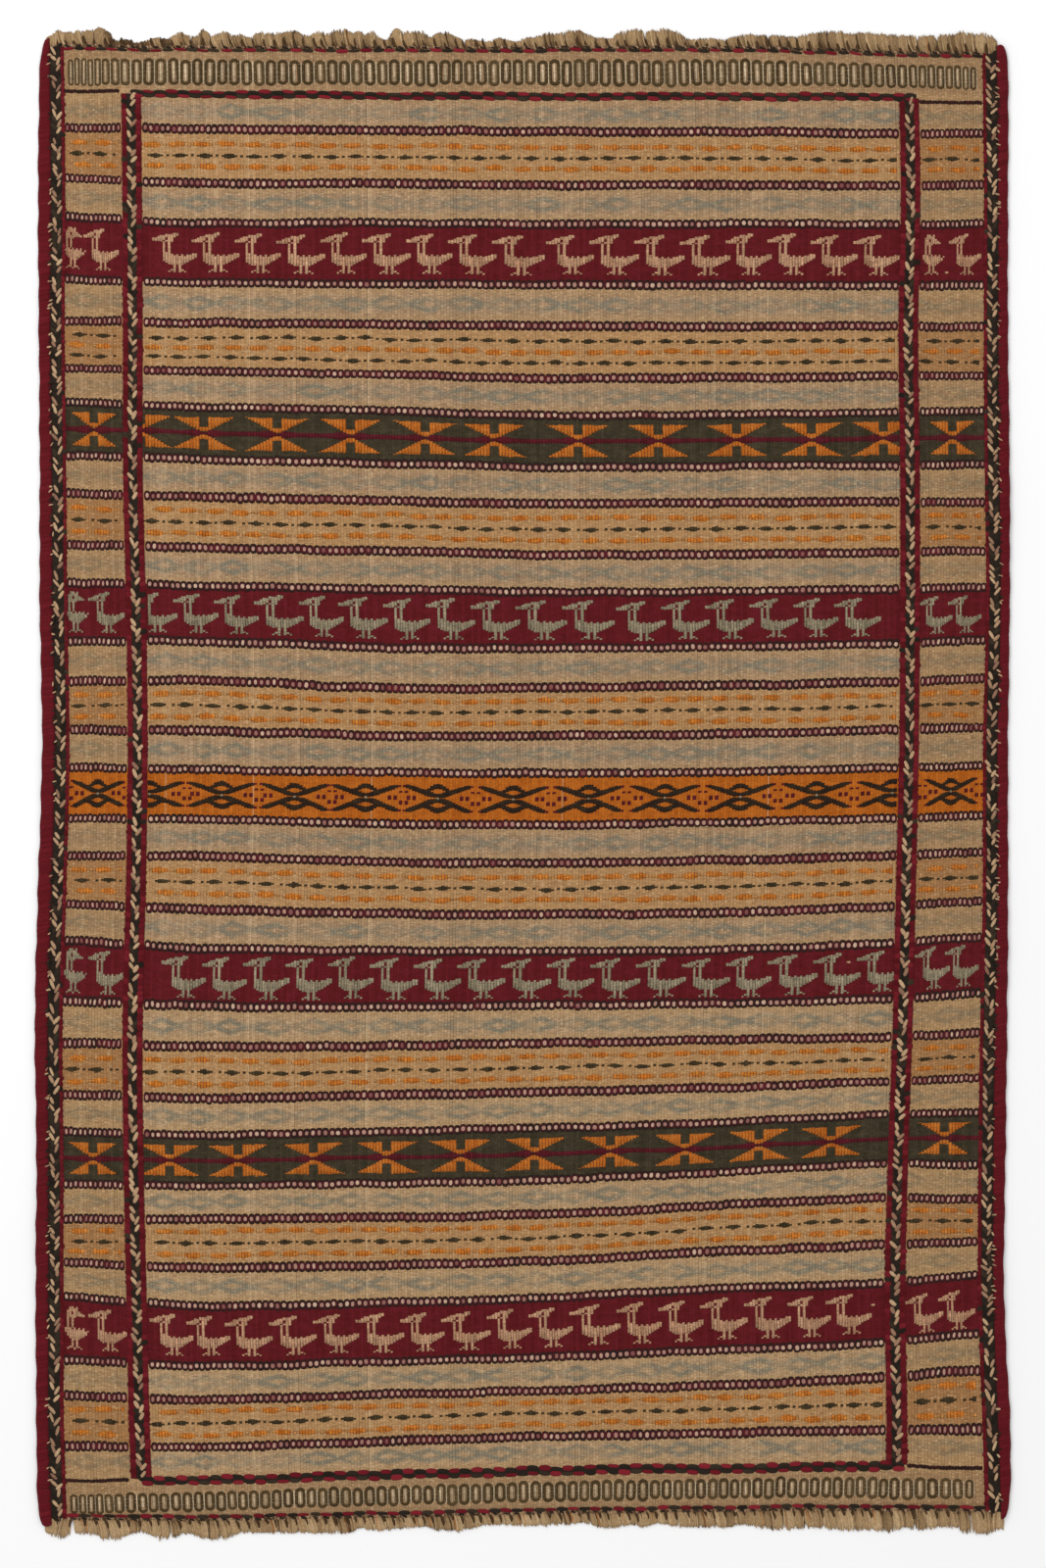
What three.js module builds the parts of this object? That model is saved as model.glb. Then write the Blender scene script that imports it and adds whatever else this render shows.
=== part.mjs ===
// A flat-woven wool kilim rug, laid out flat. Millimetres, +Z up.
// X runs across the rug, Y runs along its warps, and the underside lies on z = 0.

import * as THREE from 'three';

// Driving dimensions
const seamGap = 0.3;
const nominalHalfWidth = 580;
const cloth = { thickness: 3, columns: 16, rows: 50, beyondTopLine: 4.5, beyondBottomLine: 3.5 };
const selvedge = { height: 5, rowLength: 28, cornerLength: 56 };
const outerBraid = { width: 16.4, lineWidth: 5, rowLength: 36 };
const innerBraid = { width: 24.6, lineWidth: 5.5, rowLength: 44 };
const frameLine = { width: 9, rowLength: 44 };
const endLine = { width: 4.6, rowLength: 44 };
const relief = { flatLine: 1, braid: 2, shoulder: 2, frameLine: 1.6, endLine: 1.2 };
const strip = { width: 3.2, height: 3.4, endInset: 3, fullReach: 22 };
const lock = { pitch: 10.8, middleWidth: 7.4, middleShare: 0.6, tipHeight: 1.8 };
const lockScatter = { root: 0.6, reach: 2.5, lean: 1 };
const scatterSeeds = { top: 10, bottom: 500 };

// Places across the rug, a row for each place along it
const sideTable = {
  columns: ['along', 'edgeLeft', 'outerLeft', 'innerLeft', 'innerRight', 'outerRight', 'edgeRight'],
  rows: [
    [-910, -595, -568, -464, 454, 577, 597],
    [-792, -596, -572, -469, 457, 573, 597],
    [-624, -597, -572, -473, 455, 567, 589],
    [-456, -596, -572, -477, 459, 567, 591],
    [-288, -598, -573, -478, 465, 569, 593],
    [-120, -594, -568, -474, 469, 572, 594],
    [48, -589, -564, -472, 473, 572, 594],
    [216, -592, -567, -474, 474, 576, 596],
    [384, -592, -568, -478, 474, 574, 596],
    [552, -593, -570, -478, 472, 573, 594],
    [720, -594, -569, -479, 475, 573, 594],
    [913, -592, -571, -481, 471, 571, 595],
  ],
};

// Places of the four cross lines along the rug, a row for each place across it
const crossTable = {
  columns: ['across', 'endTop', 'frameTop', 'frameBottom', 'endBottom'],
  rows: [
    [-580, 901, 847, -854, -896],
    [-450, 899, 845, -854, -898],
    [-280, 898, 845, -850, -896],
    [-100, 898, 842, -843, -890],
    [80, 898, 842, -841, -887],
    [260, 898, 842, -837, -886],
    [430, 893, 842, -837, -884],
    [580, 891, 837, -840, -886],
  ],
};

// How far the fringe's locks reach past their strip and lean to the right, a row for each place across
const fringeTable = {
  columns: ['across', 'reachTop', 'leanTop', 'reachBottom', 'leanBottom'],
  rows: [
    [-570, 15, 1, 20, -4],
    [-494, 7, 2, 18, 2],
    [-418, 13, -2, 19, 4],
    [-342, 13, -4, 14, 4],
    [-266, 17, -5, 15, 4],
    [-190, 13, -4, 13, 3],
    [-114, 15, -4, 16, 4],
    [-38, 10, -3, 12, 3],
    [38, 13, -4, 14, 4],
    [114, 17, -5, 14, 4],
    [190, 14, -4, 17, 5],
    [266, 12, -4, 19, 5],
    [342, 15, -5, 20, 4],
    [418, 16, -5, 21, 4],
    [494, 17, -4, 19, 3],
    [570, 14, -1, 23, 1],
  ],
};

// Ends of the selvedges, and the share of their width that is left at each tip
const selvedgeTips = {
  left: { top: 913, topShare: 0.25, bottom: -909, bottomShare: 0.5 },
  right: { top: 905, topShare: 0.45, bottom: -900, bottomShare: 0.25 },
};

// Low waves in the long edges, where the wrapping pulls the cloth up
const cockleDepth = 130;
const cockles = [
  { side: -1, along: 560, length: 230, rise: 1.2 },
  { side: -1, along: 60, length: 260, rise: 1.6 },
  { side: -1, along: -560, length: 230, rise: 1.3 },
  { side: 1, along: 330, length: 240, rise: 1.4 },
  { side: 1, along: -190, length: 230, rise: 1.2 },
  { side: 1, along: -620, length: 250, rise: 1.6 },
];

const colours = {
  cloth: 0x9c8466,
  selvedge: 0x5f1a20,
  braid: 0x5a4a3c,
  twinedLine: 0x4a1c20,
  fringe: 0x98805c,
};

const mix = (a, b, t) => a + (b - a) * t;

// A small repeatable scatter between -1 and 1
function scatter(seed) {
  const wave = Math.sin(seed * 12.9898 + 4.1414) * 43758.5453;
  return 2 * (wave - Math.floor(wave)) - 1;
}

// Smooth curve through the rows of one column of a table, straight on past its ends
function curveThrough(table, column) {
  const places = table.rows.map((row) => row[0]);
  const values = table.rows.map((row) => row[table.columns.indexOf(column)]);
  const last = places.length - 1;
  const slopeAt = (i) => {
    const before = Math.max(i - 1, 0);
    const after = Math.min(i + 1, last);
    return (values[after] - values[before]) / (places[after] - places[before]);
  };
  return (place) => {
    if (place <= places[0]) {
      return values[0] + slopeAt(0) * (place - places[0]);
    }
    if (place >= places[last]) {
      return values[last] + slopeAt(last) * (place - places[last]);
    }
    const i = places.findIndex((next) => next > place) - 1;
    const span = places[i + 1] - places[i];
    const t = (place - places[i]) / span;
    return (1 + 2 * t) * (1 - t) ** 2 * values[i]
      + t * (1 - t) ** 2 * span * slopeAt(i)
      + t ** 2 * (3 - 2 * t) * values[i + 1]
      + t ** 2 * (t - 1) * span * slopeAt(i + 1);
  };
}

const edgeLeft = curveThrough(sideTable, 'edgeLeft');
const edgeRight = curveThrough(sideTable, 'edgeRight');
const outerLeft = curveThrough(sideTable, 'outerLeft');
const outerRight = curveThrough(sideTable, 'outerRight');
const innerLeft = curveThrough(sideTable, 'innerLeft');
const innerRight = curveThrough(sideTable, 'innerRight');
const endTop = curveThrough(crossTable, 'endTop');
const endBottom = curveThrough(crossTable, 'endBottom');
const frameTop = curveThrough(crossTable, 'frameTop');
const frameBottom = curveThrough(crossTable, 'frameBottom');

// The cloth ends level with the outer braids at its sides, and just past the end lines
const clothLeft = (along) => outerLeft(along) - outerBraid.width / 2;
const clothRight = (along) => outerRight(along) + outerBraid.width / 2;
const clothTop = (across) => endTop(across) + cloth.beyondTopLine;
const clothBottom = (across) => endBottom(across) - cloth.beyondBottomLine;

// Height of the cloth's underside over the floor
function lift(across, along) {
  let height = 0;
  for (const wave of cockles) {
    const inwards = Math.max(0, nominalHalfWidth - wave.side * across);
    const sideShare = Math.max(0, 1 - inwards / cockleDepth) ** 2;
    const offset = Math.min(1, Math.abs(along - wave.along) / (wave.length / 2));
    height += wave.rise * sideShare * (1 + Math.cos(Math.PI * offset)) / 2;
  }
  return height;
}

const faceHeight = (across, along) => cloth.thickness + seamGap + lift(across, along);

// Moves every corner of a geometry by one rule
function bend(geometry, rule) {
  const corners = geometry.attributes.position;
  for (let i = 0; i < corners.count; i += 1) {
    corners.setXYZ(i, ...rule(corners.getX(i), corners.getY(i), corners.getZ(i)));
  }
  geometry.computeVertexNormals();
  return geometry;
}

// A straight bar along Y whose section is an outline of [across, rise] points
function barAlong(outline, from, to, rowLength) {
  const shape = new THREE.Shape(outline.map(([across, rise]) => new THREE.Vector2(across, rise)));
  const depth = to - from;
  const steps = Math.round(depth / rowLength);
  const bar = new THREE.ExtrudeGeometry(shape, { depth, steps, bevelEnabled: false });
  return bar.rotateX(Math.PI / 2).translate(0, to, 0);
}

// The same bar along X
function barAcross(outline, from, to, rowLength) {
  const turned = outline.map(([across, rise]) => [-across, rise]);
  return barAlong(turned, from, to, rowLength).rotateZ(-Math.PI / 2);
}

// A place on the cloth, from its shares across and along
function clothPlace(shareAcross, shareAlong) {
  const nominalAcross = mix(-nominalHalfWidth, nominalHalfWidth, shareAcross);
  const along = mix(clothBottom(nominalAcross), clothTop(nominalAcross), shareAlong);
  return [mix(clothLeft(along), clothRight(along), shareAcross), along];
}

function clothSheet() {
  const sheet = new THREE.BoxGeometry(1, 1, cloth.thickness, cloth.columns, cloth.rows, 1);
  return bend(sheet, (x, y, z) => {
    const [across, along] = clothPlace(x + 0.5, y + 0.5);
    return [across, along, z + cloth.thickness / 2 + lift(across, along)];
  });
}

// Shares of a selvedge's width and height, from the cloth's side outwards
const selvedgeOutline = [
  [0.15, 0],
  [0.85, 0],
  [1, 0.35],
  [0.85, 0.85],
  [0.55, 1],
  [0.15, 0.9],
  [0, 0.3],
];

// A wrapped edge narrows towards its tips as a quarter of an ellipse
function selvedgeEdge(inner, outer, tips, direction) {
  const outline = selvedgeOutline.map(([across, rise]) => [across * direction, rise * selvedge.height]);
  const bar = barAlong(outline, tips.bottom, tips.top, selvedge.rowLength);
  return bend(bar, (x, y, z) => {
    const tipShare = y > 0 ? tips.topShare : tips.bottomShare;
    const fromTip = y > 0 ? tips.top - y : y - tips.bottom;
    const past = Math.max(0, 1 - fromTip / selvedge.cornerLength);
    const widthShare = mix(tipShare, 1, Math.sqrt(1 - past ** 2));
    const start = inner(y) + direction * seamGap;
    const across = start + x * direction * (outer(y) - start) * widthShare;
    return [across, y, z + lift(across, y)];
  });
}

// An outer braid has its flat maroon line only on the side of the rug's middle
function outerBraidOutline(direction) {
  const half = outerBraid.width / 2;
  const outline = [
    [-half, 0],
    [half, 0],
    [half, relief.flatLine],
    [half - relief.shoulder, relief.braid],
    [outerBraid.lineWidth + relief.shoulder - half, relief.braid],
    [outerBraid.lineWidth - half, relief.flatLine],
    [-half, relief.flatLine],
  ];
  return outline.map(([across, rise]) => [across * direction, rise]);
}

// An inner braid has one on each side
function innerBraidOutline() {
  const half = innerBraid.width / 2;
  const inside = half - innerBraid.lineWidth;
  return [
    [-half, 0],
    [half, 0],
    [half, relief.flatLine],
    [inside, relief.flatLine],
    [inside - relief.shoulder, relief.braid],
    [relief.shoulder - inside, relief.braid],
    [-inside, relief.flatLine],
    [-half, relief.flatLine],
  ];
}

// A braid lies on the cloth's face along its own line, from one cross curve to another
function braidStrip(outline, centre, bottom, top, rowLength) {
  const from = bottom(centre(0));
  const to = top(centre(0));
  return bend(barAlong(outline, from, to, rowLength), (x, y, z) => {
    const nominalAcross = centre(y) + x;
    const along = mix(bottom(nominalAcross), top(nominalAcross), (y - from) / (to - from));
    const across = centre(along) + x;
    return [across, along, z + faceHeight(across, along)];
  });
}

// A twined line lies on the cloth's face across the rug
function crossLine(line, rise, centre, left, right) {
  const half = line.width / 2;
  const outline = [[-half, 0], [half, 0], [half / 2, rise], [-half / 2, rise]];
  return bend(barAcross(outline, left, right, line.rowLength), (x, y, z) => {
    const along = centre(x) + y;
    return [x, along, z + faceHeight(x, along)];
  });
}

// A comb of leaf-shaped locks on a narrow strip, which follows the cloth's end and thins to the tips
function fringeRow(end, shareAlong, reach, lean, seed) {
  const direction = Math.sign(shareAlong - 0.5);
  const inside = [];
  for (let column = 0; column <= cloth.columns; column += 1) {
    const [across, along] = clothPlace(column / cloth.columns, shareAlong);
    inside.push([across, along + direction * seamGap]);
  }
  const left = inside[0][0] + strip.endInset;
  const right = inside[cloth.columns][0] - strip.endInset;
  inside[0][0] = left;
  inside[cloth.columns][0] = right;

  const rootLine = (across) => end(across) + direction * (seamGap + strip.width);
  const count = Math.round((right - left) / lock.pitch);
  const pitch = (right - left) / count;
  const outline = [[left, rootLine(left)]];
  for (let i = 0; i < count; i += 1) {
    const across = left + (i + 0.5) * pitch;
    const length = reach(across) + lockScatter.reach * scatter(seed + i);
    const leaning = lean(across) + lockScatter.lean * scatter(seed + i + 0.3);
    const root = rootLine(across);
    const middle = across + leaning * lock.middleShare ** 2;
    const middleAlong = root + direction * length * lock.middleShare;
    const valley = left + (i + 1) * pitch;
    const valleyDepth = i + 1 < count ? lockScatter.root * scatter(seed + i + 0.7) : 0;
    outline.push([middle - lock.middleWidth / 2, middleAlong]);
    outline.push([across + leaning, root + direction * length]);
    outline.push([middle + lock.middleWidth / 2, middleAlong]);
    outline.push([valley, rootLine(valley) + valleyDepth]);
  }
  outline.push(...inside.reverse());

  const shape = new THREE.Shape(outline.map(([across, along]) => new THREE.Vector2(across, along)));
  const comb = new THREE.ExtrudeGeometry(shape, { depth: 1, steps: 1, bevelEnabled: false });
  return bend(comb, (x, y, z) => {
    const share = Math.max(0, direction * (y - rootLine(x)) / strip.fullReach);
    return [x, y, z * mix(strip.height, lock.tipHeight, Math.min(1, share))];
  });
}

const rug = new THREE.Group();

function addPiece(name, geometry, colour) {
  const finish = new THREE.MeshStandardMaterial({ color: colour, roughness: 0.95, metalness: 0 });
  const piece = new THREE.Mesh(geometry, finish);
  piece.name = name;
  rug.add(piece);
}

addPiece('kilim_cloth', clothSheet(), colours.cloth);

addPiece('selvedge_left', selvedgeEdge(clothLeft, edgeLeft, selvedgeTips.left, -1), colours.selvedge);
addPiece('selvedge_right', selvedgeEdge(clothRight, edgeRight, selvedgeTips.right, 1), colours.selvedge);

function addOuterBraid(name, centre, direction) {
  const outline = outerBraidOutline(direction);
  addPiece(name, braidStrip(outline, centre, clothBottom, clothTop, outerBraid.rowLength), colours.braid);
}

addOuterBraid('braid_outer_left', outerLeft, -1);
addOuterBraid('braid_outer_right', outerRight, 1);

const frameInset = frameLine.width / 2 + seamGap;
const insideBottom = (across) => frameBottom(across) + frameInset;
const insideTop = (across) => frameTop(across) - frameInset;

function addInnerBraid(name, centre) {
  const outline = innerBraidOutline();
  addPiece(name, braidStrip(outline, centre, insideBottom, insideTop, innerBraid.rowLength), colours.braid);
}

addInnerBraid('braid_inner_left', innerLeft);
addInnerBraid('braid_inner_right', innerRight);

// The frame lines cover the ends of the inner braids
function addFrameLine(name, centre) {
  const left = innerLeft(centre(innerLeft(0))) - innerBraid.width / 2;
  const right = innerRight(centre(innerRight(0))) + innerBraid.width / 2;
  addPiece(name, crossLine(frameLine, relief.frameLine, centre, left, right), colours.twinedLine);
}

addFrameLine('frame_line_top', frameTop);
addFrameLine('frame_line_bottom', frameBottom);

// The end lines stop beside the outer braids
function addEndLine(name, centre) {
  const inset = outerBraid.width / 2 + seamGap;
  const left = outerLeft(centre(outerLeft(0))) + inset;
  const right = outerRight(centre(outerRight(0))) - inset;
  addPiece(name, crossLine(endLine, relief.endLine, centre, left, right), colours.twinedLine);
}

addEndLine('end_line_top', endTop);
addEndLine('end_line_bottom', endBottom);

function addFringe(name, end, shareAlong, reachColumn, leanColumn, seed) {
  const reach = curveThrough(fringeTable, reachColumn);
  const lean = curveThrough(fringeTable, leanColumn);
  addPiece(name, fringeRow(end, shareAlong, reach, lean, seed), colours.fringe);
}

addFringe('fringe_top', clothTop, 1, 'reachTop', 'leanTop', scatterSeeds.top);
addFringe('fringe_bottom', clothBottom, 0, 'reachBottom', 'leanBottom', scatterSeeds.bottom);

// The origin is the middle of the rug's outline, on the floor
const outline = new THREE.Box3().setFromObject(rug);
const middle = outline.getCenter(new THREE.Vector3());
rug.position.set(-middle.x, -middle.y, -outline.min.z);

export default rug;
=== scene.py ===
import math

import bmesh
import bpy
import numpy as np
from mathutils import Matrix, Vector


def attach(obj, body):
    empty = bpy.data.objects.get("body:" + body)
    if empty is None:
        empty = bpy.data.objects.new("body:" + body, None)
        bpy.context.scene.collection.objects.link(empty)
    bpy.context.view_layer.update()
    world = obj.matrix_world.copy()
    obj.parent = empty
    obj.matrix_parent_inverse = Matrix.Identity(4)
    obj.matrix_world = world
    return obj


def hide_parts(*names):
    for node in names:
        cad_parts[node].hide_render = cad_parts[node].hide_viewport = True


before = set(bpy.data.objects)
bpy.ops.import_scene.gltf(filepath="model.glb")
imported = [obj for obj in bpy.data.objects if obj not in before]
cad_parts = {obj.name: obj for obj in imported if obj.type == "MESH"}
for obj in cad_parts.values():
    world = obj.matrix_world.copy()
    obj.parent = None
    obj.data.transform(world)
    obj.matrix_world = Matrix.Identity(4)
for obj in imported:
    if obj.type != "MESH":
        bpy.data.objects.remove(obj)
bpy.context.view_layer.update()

# The rug lies flat: u runs across it and v along its warps, both in millimetres from its middle,
# and h is the height over the woven face. lay() turns them into places in the room.
mm = 0.001
recentre = (0.28, 0.29)
faceHeight = 3.0
ribWidth = 3.72          # one warp under its wefts

# Where the edges and the four braids run, for each place along the rug
sideTable = {"columns": ["along", "edgeLeft", "outerLeft", "innerLeft", "innerRight", "outerRight",
                         "edgeRight"], "rows": [
    [-910, -595, -568, -464, 454, 577, 597],
    [-792, -596, -572, -469, 457, 573, 597],
    [-624, -597, -572, -473, 455, 567, 589],
    [-456, -596, -572, -477, 459, 567, 591],
    [-288, -598, -573, -478, 465, 569, 593],
    [-120, -594, -568, -474, 469, 572, 594],
    [48, -589, -564, -472, 473, 572, 594],
    [216, -592, -567, -474, 474, 576, 596],
    [384, -592, -568, -478, 474, 574, 596],
    [552, -593, -570, -478, 472, 573, 594],
    [720, -594, -569, -479, 475, 573, 594],
    [913, -592, -571, -481, 471, 571, 595],
]}
nominal = {"outerLeft": -570, "innerLeft": -474, "innerRight": 467, "outerRight": 573}

# How far the wefts rise off a straight line, for each place along the rug
bowTable = {"columns": ["along", -530, -400, -184, 32, 248, 449, 530],
            "rows": [
    [-888, -8, -9, -5, 0, 2, 4, 2],
    [-800, -12, -13, -6, 0, 4, 8, 8],
    [-745, -7, -11, -5, 0, 7, 16, 23],
    [-633, -1, -10, -7, 0, 11, 18, 25],
    [-530, -5, -6, -4, 0, 11, 21, 19],
    [-424, -5, -9, -5, 0, 7, 17, 19],
    [-317, -1, -4, -4, 0, 4, 7, 11],
    [-205, 12, 4, 1, 0, 2, 11, 16],
    [-96, 9, 9, 2, 0, 4, 9, 12],
    [13, 7, 5, 1, 0, 2, 7, 9],
    [119, 8, 9, 0, 0, 3, 7, 10],
    [236, 11, 8, 4, 0, 1, 4, 6],
    [343, 12, 9, 4, 0, 1, 2, 2],
    [452, 15, 11, 6, 0, 1, 4, 5],
    [562, 6, 4, 2, 0, -1, 0, -1],
    [685, 9, 2, 2, 0, 1, 0, 1],
    [800, 5, 4, 2, 0, 0, -3, -3],
    [842, 5, 3, 1, 0, 0, -1, -5],
    [898, 2, 1, 0, 0, 0, -5, -6],
]}
bowGrid = {"step": 6.0, "halfWidth": 660.0, "halfLength": 1020.0}
wobble = {"seed": 5, "across": 42, "along": 26, "depth": 1.1}

# Low waves along the long edges, where the wrapping pulls the cloth up
cockles = {"edge": 580, "depth": 130, "columns": ["side", "along", "length", "rise"],
           "rows": [[-1, 560, 230, 1.2], [-1, 60, 260, 1.6], [-1, -560, 230, 1.3],
                    [1, 330, 240, 1.4], [1, -190, 230, 1.2], [1, -620, 250, 1.6]]}

# Bands from the top down: what they hold, and the bead lines above and below them
bands = [
    {"kind": "dashes", "top": 799, "bottom": 733, "rows": "obo"},
    {"kind": "birds", "top": 685, "bottom": 611,
     "beaks": [-454, -406, -353, -302, -248, -197, -143, -92, -38, 28, 81, 136, 192, 248, 299, 352, 404]},
    {"kind": "dashes", "top": 561, "bottom": 497, "rows": "bob"},
    {"kind": "crosses", "top": 451, "bottom": 388},
    {"kind": "dashes", "top": 343, "bottom": 281, "rows": "obo"},
    {"kind": "birds", "top": 235, "bottom": 166,
     "beaks": [-478, -428, -378, -329, -274, -226, -171, -119, -64, -9, 48, 114, 169, 223, 277, 331, 381]},
    {"kind": "dashes", "top": 118, "bottom": 59, "rows": "obo"},
    {"kind": "eyes", "top": 13, "bottom": -50},
    {"kind": "dashes", "top": -97, "bottom": -160, "rows": "obo"},
    {"kind": "birds", "top": -205, "bottom": -271,
     "beaks": [-443, -393, -343, -291, -239, -188, -134, -81, -27, 29, 82, 138, 194, 248, 299, 355, 408]},
    {"kind": "dashes", "top": -317, "bottom": -377, "rows": "obo"},
    {"kind": "crosses", "top": -421, "bottom": -485},
    {"kind": "dashes", "top": -527, "bottom": -584, "rows": "obo"},
    {"kind": "birds", "top": -629, "bottom": -702,
     "beaks": [-457, -412, -365, -311, -257, -205, -150, -100, -44, 7, 57, 115, 166, 217, 271, 324, 371]},
    {"kind": "dashes", "top": -743, "bottom": -799, "rows": "obo"},
]


def bandsOf(kind):
    return [band for band in bands if band["kind"] == kind]


def middleOf(band):
    return (band["top"] + band["bottom"]) / 2


def smoothThrough(places, values):
    # Smooth curve through the values at some places, straight on past its ends
    places, values = np.array(places, float), np.array(values, float)
    slopes = np.empty_like(values)
    slopes[1:-1] = (values[2:] - values[:-2]) / (places[2:] - places[:-2])
    slopes[[0, -1]] = (np.diff(values) / np.diff(places))[[0, -1]]

    def curve(place):
        held = np.clip(np.asarray(place, float), places[0], places[-1])
        i = np.clip(np.searchsorted(places, held, side="right") - 1, 0, len(places) - 2)
        span = places[i + 1] - places[i]
        t = (held - places[i]) / span
        inside = ((1 + 2 * t) * (1 - t) ** 2 * values[i] + t * (1 - t) ** 2 * span * slopes[i]
                  + t ** 2 * (3 - 2 * t) * values[i + 1] + t ** 2 * (t - 1) * span * slopes[i + 1])
        return inside + (place - held) * np.where(place > held, slopes[-1], slopes[0])

    return curve


def curveThrough(table, column):
    picked = table["columns"].index(column)
    return smoothThrough([row[0] for row in table["rows"]], [row[picked] for row in table["rows"]])


def mixCorners(grid, i, j, s, t):
    # The height inside the grid's cell i, j, between its four corners
    low = grid[i, j] * (1 - s) + grid[i + 1, j] * s
    high = grid[i, j + 1] * (1 - s) + grid[i + 1, j + 1] * s
    return low * (1 - t) + high * t


def makeBow():
    # The rise of the wefts on a grid over the rug, with a soft seeded wobble
    uGrid, vGrid = [np.arange(-bowGrid[half], bowGrid[half] + 1, bowGrid["step"])
                    for half in ("halfWidth", "halfLength")]
    places = [row[0] for row in bowTable["rows"]]
    inside = np.clip(vGrid, places[0], places[-1])
    rises = [smoothThrough(bowTable["columns"][1:], row[1:])(uGrid) for row in bowTable["rows"]]
    risen = np.array([smoothThrough(places, column)(inside) for column in np.transpose(rises)])
    knots = [np.arange(grid[0], grid[-1] + wobble[way], wobble[way])
             for grid, way in ((uGrid, "across"), (vGrid, "along"))]
    heights = np.random.default_rng(wobble["seed"]).uniform(-1, 1, (len(knots[0]), len(knots[1])))

    def ease(knots, grid):
        i = np.clip(np.searchsorted(knots, grid, side="right") - 1, 0, len(knots) - 2)
        t = (grid - knots[i]) / (knots[i + 1] - knots[i])
        return i, t * t * (3 - 2 * t)

    i, s = ease(knots[0], uGrid)
    j, t = ease(knots[1], vGrid)
    return risen + wobble["depth"] * mixCorners(heights, i[:, None], j[None, :], s[:, None], t[None, :])


bow = makeBow()
sideCurves = {name: curveThrough(sideTable, name) for name in sideTable["columns"][1:]}


def weftRise(u, v):
    x = np.clip((u + bowGrid["halfWidth"]) / bowGrid["step"], 0, bow.shape[0] - 1.001)
    y = np.clip((v + bowGrid["halfLength"]) / bowGrid["step"], 0, bow.shape[1] - 1.001)
    i, j = x.astype(int), y.astype(int)
    return mixCorners(bow, i, j, x - i, y - j)


def warpSway(u, along):
    # How far the braids on either side draw a warp from its nominal place
    names = list(nominal)
    offsets = [sideCurves[name](along) - nominal[name] for name in names]
    sway = offsets[0]
    for i in range(len(names) - 1):
        start, end = nominal[names[i]], nominal[names[i + 1]]
        sway = sway + (offsets[i + 1] - offsets[i]) * np.clip((u - start) / (end - start), 0, 1)
    return sway


def unswayed(across, along):
    # The place on the cloth that lies at this place across the room
    return across - float(warpSway(across, along))


def settle(across, along, height):
    # Places already measured straight across and along the room, lifted by the cockles
    for side, middle, length, rise in cockles["rows"]:
        inwards = np.maximum(0, cockles["edge"] - side * across)
        sideShare = np.maximum(0, 1 - inwards / cockles["depth"]) ** 2
        offset = np.minimum(1, np.abs(along - middle) / (length / 2))
        height = height + rise * sideShare * (1 + np.cos(math.pi * offset)) / 2
    return np.stack([across + recentre[0], along + recentre[1], height], axis=-1) * mm


def lay(u, v, h):
    u, v, h = np.broadcast_arrays(np.asarray(u, float), np.asarray(v, float), np.asarray(h, float))
    along = v + weftRise(u, v)
    return settle(u + warpSway(u, along), along, faceHeight + h)


pieces = []


def keepPiece(piece, slotName, *nodes):
    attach(piece, "root")
    if nodes:
        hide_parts(*nodes)
    pieces.append(piece)
    return piece


def meshFromArrays(name, points, faces, materials, faceWool):
    # points is N by 3 in metres, faces a list of arrays of corner numbers, a row for each face
    mesh = bpy.data.meshes.new(name)
    sizes = np.concatenate([np.full(len(group), group.shape[1]) for group in faces])
    corners = np.concatenate([group.ravel() for group in faces])
    starts = np.concatenate([[0], np.cumsum(sizes)[:-1]])
    mesh.vertices.add(len(points))
    mesh.vertices.foreach_set("co", np.asarray(points, np.float32).ravel())
    mesh.loops.add(len(corners))
    mesh.loops.foreach_set("vertex_index", corners.astype(np.int32))
    mesh.polygons.add(len(sizes))
    mesh.polygons.foreach_set("loop_start", starts.astype(np.int32))
    mesh.polygons.foreach_set("material_index", np.asarray(faceWool, np.int32))
    mesh.update(calc_edges=True)
    for material in materials:
        mesh.materials.append(material)
    mesh.shade_smooth()
    piece = bpy.data.objects.new(name, mesh)
    bpy.context.scene.collection.objects.link(piece)
    return piece


def setMap(mesh, name, u, v, onCorners=False):
    # A map in metres, given in millimetres for each point of the mesh or for each face's corner
    values = np.stack([np.ravel(side) for side in np.broadcast_arrays(u, v)], axis=-1) * mm
    if not onCorners:
        corners = np.empty(len(mesh.loops), np.int32)
        mesh.loops.foreach_get("vertex_index", corners)
        values = values[corners]
    mesh.uv_layers.new(name=name).data.foreach_set("uv", values.astype(np.float32).ravel())


def setTone(mesh, values):
    layer = mesh.attributes.new("tone", "FLOAT", "POINT")
    layer.data.foreach_set("value", np.asarray(values, np.float32).ravel())


# Small shapes: their points, and their faces grouped by how many corners they have

def takeShape(bm, fullness=1.0):
    # A fullness under 1 draws a round outline out towards a square
    bm.verts.index_update()
    points = np.array([v.co[:] for v in bm.verts])
    points[:, :2] = np.sign(points[:, :2]) * np.abs(points[:, :2]) ** fullness
    groups = {}
    for face in bm.faces:
        groups.setdefault(len(face.verts), []).append([v.index for v in face.verts])
    bm.free()
    return points, [np.array(groups[n]) for n in sorted(groups)]


def closeRim(bm):
    bmesh.ops.holes_fill(bm, edges=[e for e in bm.edges if e.is_boundary], sides=0)
    bmesh.ops.recalc_face_normals(bm, faces=bm.faces)


def domeShape(segments, rings, fullness=1.0):
    # A flattened dome of unit half width and height, closed below
    bm = bmesh.new()
    bmesh.ops.create_uvsphere(bm, u_segments=segments, v_segments=rings * 2, radius=1)
    bmesh.ops.delete(bm, geom=[v for v in bm.verts if v.co.z < -0.01], context="VERTS")
    closeRim(bm)
    return takeShape(bm, fullness)


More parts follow.
